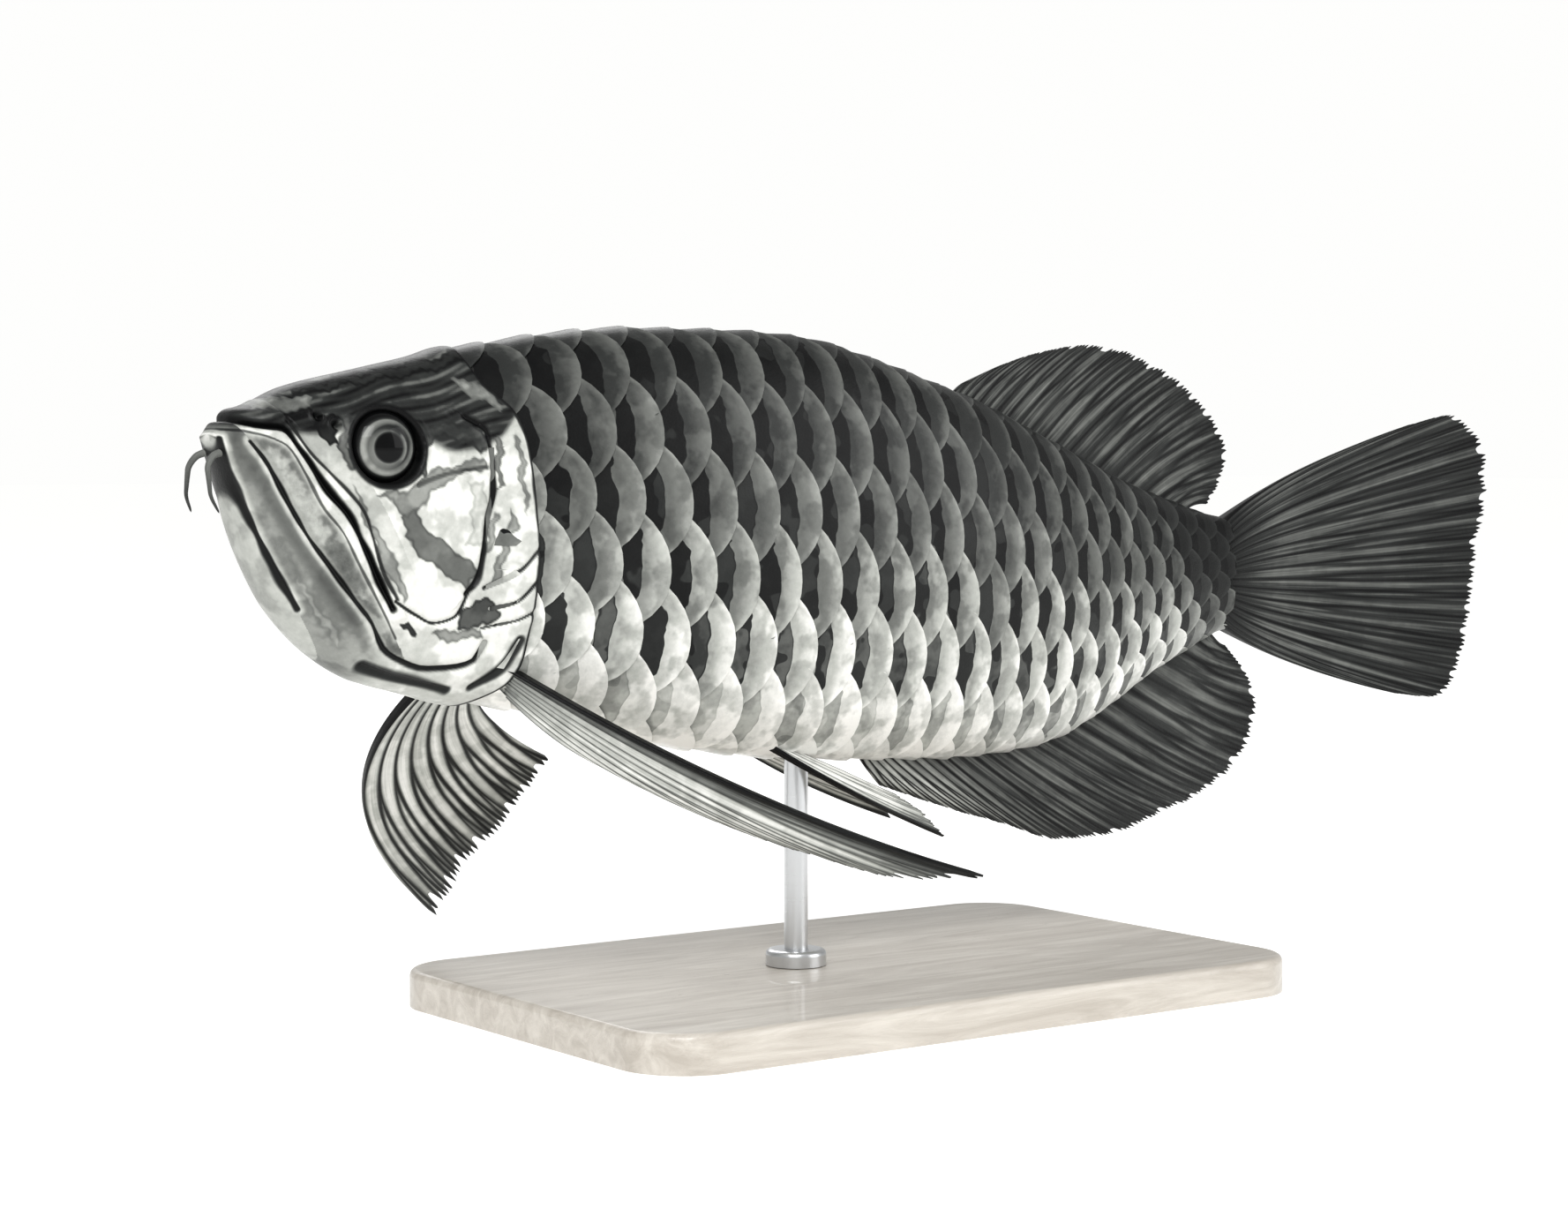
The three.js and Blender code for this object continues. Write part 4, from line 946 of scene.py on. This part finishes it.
def make_fin(name, nodes, material, rays, root, tip, bow, normal, thickness, tones, across, along, seed,
             ridge=0.42, fray=0.05, fork=0.35, first_ray=0.0, pale_front=0.0, dark_lead=0.0):
    """A fin from u across its rays and s along them, with the tones of its root, its web and its rays."""
    deselect()
    bpy.ops.mesh.primitive_grid_add(x_subdivisions=across, y_subdivisions=along, size=2)
    piece = bpy.context.object
    piece.name = piece.data.name = name
    grid = points_of(piece)
    u, v = (grid[:, 0] + 1) / 2, (grid[:, 1] + 1) / 2
    rays_here = ray_pattern(u, v, rays, fork, seed)
    at_tip = ray_pattern(u, np.ones_like(u), rays, fork, seed)
    chance = np.random.default_rng(seed + 20)
    coarse = np.interp(u, np.linspace(0, 1, rays * 2), chance.uniform(0, 1, rays * 2))
    reach = 1 - fray * (1 - at_tip) - 0.6 * fray * coarse
    s = v * reach
    middle = root(u) + (tip(u) - root(u)) * s[:, None] + bow(u) * (4 * s * (1 - s))[:, None]
    facing = normal(u, s)
    facing = facing / np.linalg.norm(facing, axis=1, keepdims=True)
    lead = first_ray * bump(u, LEAD_WIDTH) * (1 - 0.6 * s)
    half = thickness(u, s) / 2 + ridge * rays_here * (1 - 0.72 * s) + lead
    move_points(piece, middle)
    bpy.context.view_layer.objects.active = piece
    solid = piece.modifiers.new("web", "SOLIDIFY")
    solid.thickness = 1.0
    solid.offset = 0.0
    bpy.ops.object.modifier_apply(modifier="web")
    total = len(piece.data.vertices)
    source = np.arange(total) % len(u)
    side = np.where(np.arange(total) < len(u), 1.0, -1.0)
    move_points(piece, bent(middle[source] + facing[source] * (side * half[source])[:, None]))
    dark_root, pale_web, dark_ray = tones
    wash = np.interp(s, [0, 0.25, 0.8, 1], [dark_root, pale_web, pale_web, 0.75 * pale_web])
    wash = wash * (1 + pale_front * (1 - smoothstep(u, 0.12, 0.42)))
    tone = wash * (1 - rays_here) + dark_ray * rays_here
    tone = tone * (1 - dark_lead * bump(u, 0.10))
    store_chart(piece, "web", np.stack([u, s], axis=-1)[source])
    paint(piece, "tone", np.clip(tone, 0.02, 0.95)[source])
    face_outwards(piece)
    finish_piece(piece, nodes, material)


def taper(start, end):
    return lambda u, s: start + (end - start) * np.clip(s * 1.15, 0, 1)


FIN_SKIN = flesh_material("fin_web", cloud=0.12, metal=0.0, roughness=0.5, coat=0.1, grain=700.0,
                          grain_depth=0.00016, streaks=70.0)
PALE_FIN_SKIN = flesh_material("pale_fin_web", cloud=0.15, metal=0.0, roughness=0.45, coat=0.15, grain=700.0,
                               grain_depth=0.00016, streaks=22.0)


def upright(u, s):
    return np.tile([0.0, 1.0, 0.0], (len(u), 1))


print("fin materials:", FIN_SKIN.name, PALE_FIN_SKIN.name)

# %% [markdown]
# ## Dorsal and anal fins
# Both stand far back and fold towards the tail. Their roots follow the back and the belly and sink into the
# body. Their tips follow the outline of the fin, and the whole sheet bellies slightly to one side, as a soft
# fin does in water.

# %% Make the dorsal and anal fins
DORSAL_TIPS = path_through([(330, 20), (352, 27), (380, 33), (410, 36), (437, 33), (460, 26), (482, 16),
                            (496, 3), (500, -9), (495, -21), (484, -31)])
ANAL_TIPS = path_through([(281, -137), (318, -149), (350, -158), (378, -166), (410, -167), (440, -162),
                          (470, -156), (497, -147), (513, -132), (516, -118), (509, -103), (497, -92)])
ROOT_SWEEP = 1.6


def dorsal_root(u):
    x = 315 + 146 * u**ROOT_SWEEP
    return xyz(x, 0, back(x + 3) - 7)


def anal_root(u):
    x = 265 + 214 * u**ROOT_SWEEP
    return xyz(x, 0, belly(x + 3) + 7)


def flat_tip(path, sway):
    def tip(u):
        p = path(u)
        return xyz(p[:, 0], sway * np.sin(np.pi * u), p[:, 1])

    return tip


def steady(x, y, z):
    return lambda u: np.tile([float(x), float(y), float(z)], (len(u), 1))


make_fin("dorsal_fin_web", ["dorsal_fin"], FIN_SKIN, 21, dorsal_root, flat_tip(DORSAL_TIPS, 5),
         steady(0, 1.5, 2.5), upright, taper(2.0, 0.5), (0.14, 0.30, 0.04), across=320, along=56, seed=3)
make_fin("anal_fin_web", ["anal_fin"], FIN_SKIN, 27, anal_root, flat_tip(ANAL_TIPS, -5),
         steady(0, -1.5, -2.5), upright, taper(2.0, 0.5), (0.26, 0.30, 0.04), across=380, along=56, seed=5,
         pale_front=1.1)

# %% [markdown]
# ## Tail fin
# The tail fin is a broad paddle. Its rays fan out from the thick muscle at the end of the tail, so the sheet
# starts as thick as the tail and thins quickly.

# %% Make the tail fin
TAIL_TIPS = path_through([(600, 4), (620, 8), (633, 2), (640, -12), (640, -30), (635, -50), (633, -72),
                          (630, -92), (625, -111), (612, -119), (594, -117)])
MUSCLE_THICKNESS = 11.5


def tail_root(u):
    high, low = float(back(TAIL_ROOT_X)) - 1.5, float(belly(TAIL_ROOT_X)) + 1.5
    return xyz(TAIL_ROOT_X - 4, 0, high + (low - high) * u)


def tail_bow(u):
    return xyz(0, 0, 3 * np.cos(np.pi * u))


def tail_thickness(u, s):
    muscle = np.exp(-7.5 * s) * np.sin(np.pi * (0.12 + 0.76 * u)) ** 0.7
    return taper(2.4, 0.6)(u, s) + MUSCLE_THICKNESS * muscle


make_fin("tail_fin_web", ["tail_fin"], FIN_SKIN, 19, tail_root, flat_tip(TAIL_TIPS, 0), tail_bow, upright,
         tail_thickness, (0.05, 0.30, 0.03), across=300, along=96, seed=8, fray=0.025, fork=0.3)

# %% [markdown]
# ## Paired fins
# The left pectoral sweeps back and out like a blade, with a stout leading ray, and shows only its edge to the
# viewer. The right one is spread below the throat. The pelvic fins are small blades under the belly.

# %% Make the paired fins
PELVIC_ROOTS, PELVIC_BOWS = [(202, 10, -109), (207, 8, -111), (213, 6, -113)], [(0, 3, -3), (2, 2, -1)]
PELVIC_LOOK = {"rays": 5, "thickness": taper(1.8, 0.6), "ridge": 0.35, "tones": (0.62, 0.86, 0.40),
               "across": 48, "along": 60, "first_ray": 0.6, "dark_lead": 0.9}


def paired(name, node, side, roots, tips, bows, **look):
    """A fin of one side. Its root, tip and bow are given for the right and mirrored for the left."""
    mirrored = np.array([1, side, 1.0])
    root, tip = path_through(np.array(roots) * mirrored), path_through(np.array(tips) * mirrored)
    bows = np.array(bows, float) * mirrored

    def bow(u):
        return bows[0] + (bows[1] - bows[0]) * u[:, None]

    def normal(u, s):
        low, high = np.clip(u - 0.02, 0, 1), np.clip(u + 0.02, 0, 1)
        spread = root(high) - root(low) + tip(high) - tip(low)
        return np.cross(spread, tip(u) - root(u))

    make_fin(name, [node], PALE_FIN_SKIN, root=root, tip=tip, bow=bow, normal=normal, fork=0.45, **look)


paired("pectoral_left", "pectoral_fin_left", -1, [(97, 17, -81), (99, 14, -86), (101, 11, -91)],
       [(230, 120, -156), (212, 102, -157), (186, 80, -149), (160, 58, -137), (134, 36, -120)],
       [(-2, 8, -7), (-1, 3, -4)], rays=9, thickness=taper(2.2, 0.6), ridge=0.45, tones=(0.50, 0.80, 0.34),
       across=110, along=90, first_ray=1.2, dark_lead=0.94, seed=11)
paired("pectoral_right", "pectoral_fin_right", 1, [(95, 17, -83), (99, 15, -86), (103, 11, -90)],
       [(150, 118, -190), (154, 99, -169), (160, 85, -153), (164, 72, -138), (166, 60, -124)],
       [(-31, 6, 2), (-6, 6, 0)], rays=9, thickness=taper(2.2, 0.6), ridge=0.5, tones=(0.60, 0.80, 0.06),
       across=120, along=80, first_ray=1.1, seed=12)
paired("pelvic_left", "pelvic_fin_left", -1, PELVIC_ROOTS,
       [(300, 17, -157), (293, 15, -149), (280, 11, -140)], PELVIC_BOWS, seed=13, **PELVIC_LOOK)
paired("pelvic_right", "pelvic_fin_right", 1, PELVIC_ROOTS,
       [(311, 24, -154), (304, 20, -147), (288, 14, -139)], PELVIC_BOWS, seed=14, **PELVIC_LOOK)

# %% [markdown]
# ## Eyes
# The eye is large and stands a little proud, with no lids. A ball is flattened like a lens and set in its
# socket. Its tone is painted by distance from the middle: a black pupil, a grey iris with darker rings, and a
# black outer ring. Painted light makes the iris paler towards its lower left, and a thin white arc right of
# the pupil is a painted highlight. The clear cornea is a glossy coat.

# %% Make the eyes
EYE_TILT, LENS_HALF_DEPTH, EYE_SUNK = 0.1, 7.0, 3.6
RING_PLACES = [0, 0.40, 0.43, 0.50, 0.54, 0.62, 0.66, 0.74, 0.78, 0.82, 0.9, 2]
RING_TONES = [0.0, 0.0, 0.34, 0.38, 0.18, 0.24, 0.40, 0.50, 0.42, 0.03, 0.0, 0.0]
IRIS_PAINTED_LIGHT_SIDE = math.radians(220)
EYE_GLASS = flesh_material("eye_glass", cloud=0.25, metal=0.0, roughness=0.3, coat=0.0, grain=300.0,
                           grain_depth=0.00001)
shader = EYE_GLASS.node_tree.nodes["Principled BSDF"]
EYE_GLASS.node_tree.links.remove(shader.inputs["Coat Weight"].links[0])
for socket, value in (("Specular IOR Level", 0.03), ("Coat Weight", 0.22), ("Coat Roughness", 0.03)):
    shader.inputs[socket].default_value = value


def side_turn(x, z):
    """The turn at which the left side of the skin has this height."""
    turns = np.linspace(0, 0.5, 400)
    return float(np.interp(-z, -skin_points(np.full(400, float(x)), turns)[:, 2], turns))


eye_wall = abs(float(skin_points(np.array([EYE_X]), np.array([side_turn(EYE_X, EYE_Z)]))[0, 1]))
for name, side in (("eye_left", -1), ("eye_right", 1)):
    eye, down, around = ball(name + "_ball", 48, 40)
    from_middle = np.sin(down * np.pi) * (down <= 0.5) + (2 - np.sin(down * np.pi)) * (down > 0.5)
    co = points_of(eye)
    cosine, sine = math.cos(side * EYE_TILT), math.sin(side * EYE_TILT)
    lens_x, lens_y = co[:, 0] * EYE_RADIUS, side * co[:, 2] * LENS_HALF_DEPTH
    turned = xyz(lens_x * cosine - lens_y * sine, lens_x * sine + lens_y * cosine, co[:, 1] * EYE_RADIUS)
    move_points(eye, bent(turned + np.array([EYE_X, side * (eye_wall - EYE_SUNK), EYE_Z])))
    way = np.arctan2(co[:, 1], co[:, 0])
    iris = bump(from_middle - 0.6, 0.16) * (from_middle > 0.42)
    # The iris is painted paler towards its lower left, as painted light.
    tone = np.interp(from_middle, RING_PLACES, RING_TONES) + 0.16 * iris * np.cos(way - IRIS_PAINTED_LIGHT_SIDE)
    # A painted highlight: a thin white arc just right of the pupil.
    glint = stroke(np.abs(from_middle - 0.49), 0.035) * smoothstep(np.cos(way), 0.55, 0.8)
    paint(eye, "tone", np.clip(np.maximum(tone, 0.95 * glint), 0, 1))
    face_outwards(eye)
    finish_piece(eye, [name], EYE_GLASS)

# %% [markdown]
# ## Barbels
# Two short feelers grow from the tip of the lower jaw. Each is a ball drawn out along a curve, thinning to a
# soft point.

# %% Make the barbels
BARBEL_PATH = [(3, 5, -7), (-5.5, 6, -9), (-8.5, 7.5, -14), (-8.5, 9, -21), (-6, 10.5, -28)]
BARBEL_RADIUS, TIP_RADIUS = 1.55, 0.40


def drawn_out(name, path, radius, segments=16, rings=48):
    """A ball drawn out along a path."""
    piece, down, around = ball(name, segments, rings)
    centre = path(down)
    ahead = path(np.clip(down + 0.01, 0, 1)) - path(np.clip(down - 0.01, 0, 1))
    ahead /= np.linalg.norm(ahead, axis=1, keepdims=True)
    sideways = np.cross(ahead, [0.0, 1.0, 0.0])
    sideways /= np.linalg.norm(sideways, axis=1, keepdims=True)
    third = np.cross(ahead, sideways)
    size = (radius(down) * np.sqrt(np.clip(1 - (2 * down - 1) ** 16, 0, 1)))[:, None]
    angle = (around * 2 * np.pi)[:, None]
    return piece, down, centre + size * (np.cos(angle) * sideways + np.sin(angle) * third)


for name, side in (("barbel_left", -1), ("barbel_right", 1)):
    route = path_through(np.array(BARBEL_PATH) * [1, side, 1])
    feeler, down, feeler_mm = drawn_out(name + "_skin", route, through([(0, BARBEL_RADIUS), (1, TIP_RADIUS)]))
    move_points(feeler, bent(feeler_mm))
    paint(feeler, "tone", np.interp(down, [0, 0.3, 1], [0.6, 0.4, 0.2]))
    face_outwards(feeler)
    finish_piece(feeler, [name], FEELER_SKIN)

# %% [markdown]
# ## The display stand
# A swimming fish needs something to hold it. The base is a slab of pale wood with rounded corners and softly
# worn edges, made from a cube whose upright edges are bevelled far and whose top edges are bevelled a little.
# The rod is a cylinder with a turned collar.

# %% Make the base
def bevel_edges(piece, choose, width, segments):
    pick(piece)
    bpy.ops.object.mode_set(mode="EDIT")
    bpy.ops.mesh.select_all(action="DESELECT")
    bpy.ops.mesh.select_mode(type="EDGE")
    bpy.ops.object.mode_set(mode="OBJECT")
    for edge in piece.data.edges:
        ends = [piece.data.vertices[i].co for i in edge.vertices]
        edge.select = choose(*ends)
    bpy.ops.object.mode_set(mode="EDIT")
    bpy.ops.mesh.bevel(offset=width, segments=segments)
    bpy.ops.object.mode_set(mode="OBJECT")
    deselect()


def settle(piece, angle=35):
    """Puts a piece's place into its mesh and smooths its soft edges."""
    pick(piece)
    bpy.ops.object.transform_apply(location=True, rotation=True, scale=True)
    bpy.ops.object.shade_smooth_by_angle(angle=math.radians(angle))
    deselect()


CORNER_ROUND, TOP_ROUND = 0.026, 0.0025
base_low, base_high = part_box("stand_base")
base_size = base_high - base_low
deselect()
bpy.ops.mesh.primitive_cube_add(size=1, location=(base_low + base_high) / 2)
base = bpy.context.object
base.name = base.data.name = "base_slab"
bpy.ops.transform.resize(value=base_size)
settle(base)
bevel_edges(base, lambda a, b: abs(a.z - b.z) > 0.001, CORNER_ROUND, 12)
bevel_edges(base, lambda a, b: min(a.z, b.z) > base_high.z - 0.0001, TOP_ROUND, 4)
settle(base)
print("base size, m:", [round(side, 3) for side in base_size])

# %% [markdown]
# ## Pale wood
# The grain runs along the base, so both noises are stretched that way: one for the figure of the wood and a
# finer one for its pores, which also make it a little rough and uneven.

# %% Wood for the base
WOOD_STRETCH = (3.0, 26.0, 26.0)
wood, tree, shader = new_material("pale_wood")
figure = noise(tree, object_place(tree), 4.0, 8.0, 0.65, 1.2, stretch=WOOD_STRETCH)
pores = noise(tree, object_place(tree), 60.0, 3.0, stretch=WOOD_STRETCH)
tint = color_ramp(tree, figure, [(0.35, (0.42, 0.38, 0.33, 1)), (0.68, (0.62, 0.58, 0.52, 1))])
join(tree, tint, shader.inputs["Base Color"])
join(tree, scaled(tree, pores, 0.2, 0.22), shader.inputs["Roughness"])
add_bump(tree, shader, pores, 0.6, 0.0003)
shader.inputs["Coat Weight"].default_value = 0.25
finish_piece(base, ["stand_base"], wood)

# %% [markdown]
# ## The rod
# A thin steel rod stands in a low collar and ends inside the belly. It is finely turned, so its roughness
# changes in narrow rings.

# %% Make the rod and its collar
rod_low, rod_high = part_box("stand_rod")
ROD_RADIUS = 0.0045
ROD_X, ROD_Y = -0.024, 0.0035
COLLAR_HEIGHT, COLLAR_OVERHANG = 0.006, 0.007
ROD_HIDDEN = 0.004
deselect()
rod_top = rod_high.z + ROD_HIDDEN
bpy.ops.mesh.primitive_cylinder_add(vertices=48, radius=ROD_RADIUS, depth=rod_top - rod_low.z,
                                    location=(ROD_X, ROD_Y, (rod_top + rod_low.z) / 2))
rod = bpy.context.object
bpy.ops.mesh.primitive_cylinder_add(vertices=64, radius=ROD_RADIUS + COLLAR_OVERHANG, depth=COLLAR_HEIGHT,
                                    location=(ROD_X, ROD_Y, rod_low.z + COLLAR_HEIGHT / 2))
collar = bpy.context.object
settle(collar)
bevel_edges(collar, lambda a, b: min(a.z, b.z) > rod_low.z + COLLAR_HEIGHT - 0.0001, 0.002, 5)
settle(rod)
pick(rod)
collar.select_set(True)
bpy.ops.object.join()
rod.name = rod.data.name = "rod_and_collar"
settle(rod)

steel, tree, shader = new_material("brushed_steel")
shader.inputs["Base Color"].default_value = (0.62, 0.63, 0.64, 1)
shader.inputs["Metallic"].default_value = 1.0
rings = noise(tree, object_place(tree), 1.0, 3.0, stretch=(40.0, 40.0, 2600.0))
join(tree, scaled(tree, rings, 0.22, 0.2), shader.inputs["Roughness"])
finish_piece(rod, ["stand_rod"], steel)

# %% [markdown]
# ## Floor and light
# The floor is a plain pale sheet that glows a little, so that it stays as white as the drawing's paper. The
# light is soft and wide, as in a studio: one large lamp high on the viewer's left, a weaker one on the right,
# and one behind to part the back from the background.

# %% Floor and light
LAMPS = [("key", (-1.3, -1.5, 1.7), 1.3, 48), ("fill", (1.4, -1.6, 0.9), 1.5, 16),
         ("rim", (0.5, 1.7, 1.4), 1.2, 12)]
LAMP_AIM = (0, 0, 0.15)
FLOOR_GLOW, AMBIENT, SEEN_PAPER = 0.70, 0.5, 0.5


def aim(piece, place, target):
    piece.rotation_euler = (Vector(target) - Vector(place)).to_track_quat("-Z", "Y").to_euler()


deselect()
bpy.ops.mesh.primitive_plane_add(size=30, location=(0, 0, 0))
floor = bpy.context.object
floor.name = "floor"
paper, tree, shader = new_material("floor_paper")
shader.inputs["Base Color"].default_value = (0.6, 0.6, 0.595, 1)
shader.inputs["Roughness"].default_value = 0.95
shader.inputs["Specular IOR Level"].default_value = 0.0
shader.inputs["Emission Color"].default_value = (1.0, 1.0, 0.99, 1)
shader.inputs["Emission Strength"].default_value = FLOOR_GLOW
floor.data.materials.append(paper)
for name, place, size, power in LAMPS:
    deselect()
    bpy.ops.object.light_add(type="AREA", location=place)
    lamp = bpy.context.object
    lamp.name, lamp.data.size, lamp.data.energy = name, size, power
    aim(lamp, place, LAMP_AIM)
world = bpy.data.worlds.new("studio")
bpy.context.scene.world = world
world.use_nodes = True
background = world.node_tree.nodes["Background"]
background.inputs["Color"].default_value = (0.99, 0.99, 0.98, 1)
seen = world.node_tree.nodes.new("ShaderNodeLightPath")
strength = scaled(world.node_tree, seen.outputs["Is Camera Ray"], SEEN_PAPER, AMBIENT)
join(world.node_tree, strength, background.inputs["Strength"])
bpy.context.scene.view_settings.view_transform = "Standard"
print("lamps:", len(LAMPS))

# %% [markdown]
# ## Camera
# The fish is seen from its left, well towards the front, and from slightly above. With this place, aim and
# lens the solid model's outline falls on the drawing's.

# %% Camera
CAMERA_PLACE = (-0.72924, -0.95949, 0.2102)
CAMERA_AIM = (-0.02487, 0.010, 0.1474)
LENS = 72.93
deselect()
bpy.ops.object.camera_add(location=CAMERA_PLACE)
camera = bpy.context.object
aim(camera, CAMERA_PLACE, CAMERA_AIM)
camera.data.sensor_width = 36
camera.data.lens = LENS
bpy.context.scene.camera = camera
print("distance of the camera, m:", round((Vector(CAMERA_AIM) - Vector(CAMERA_PLACE)).length, 2))
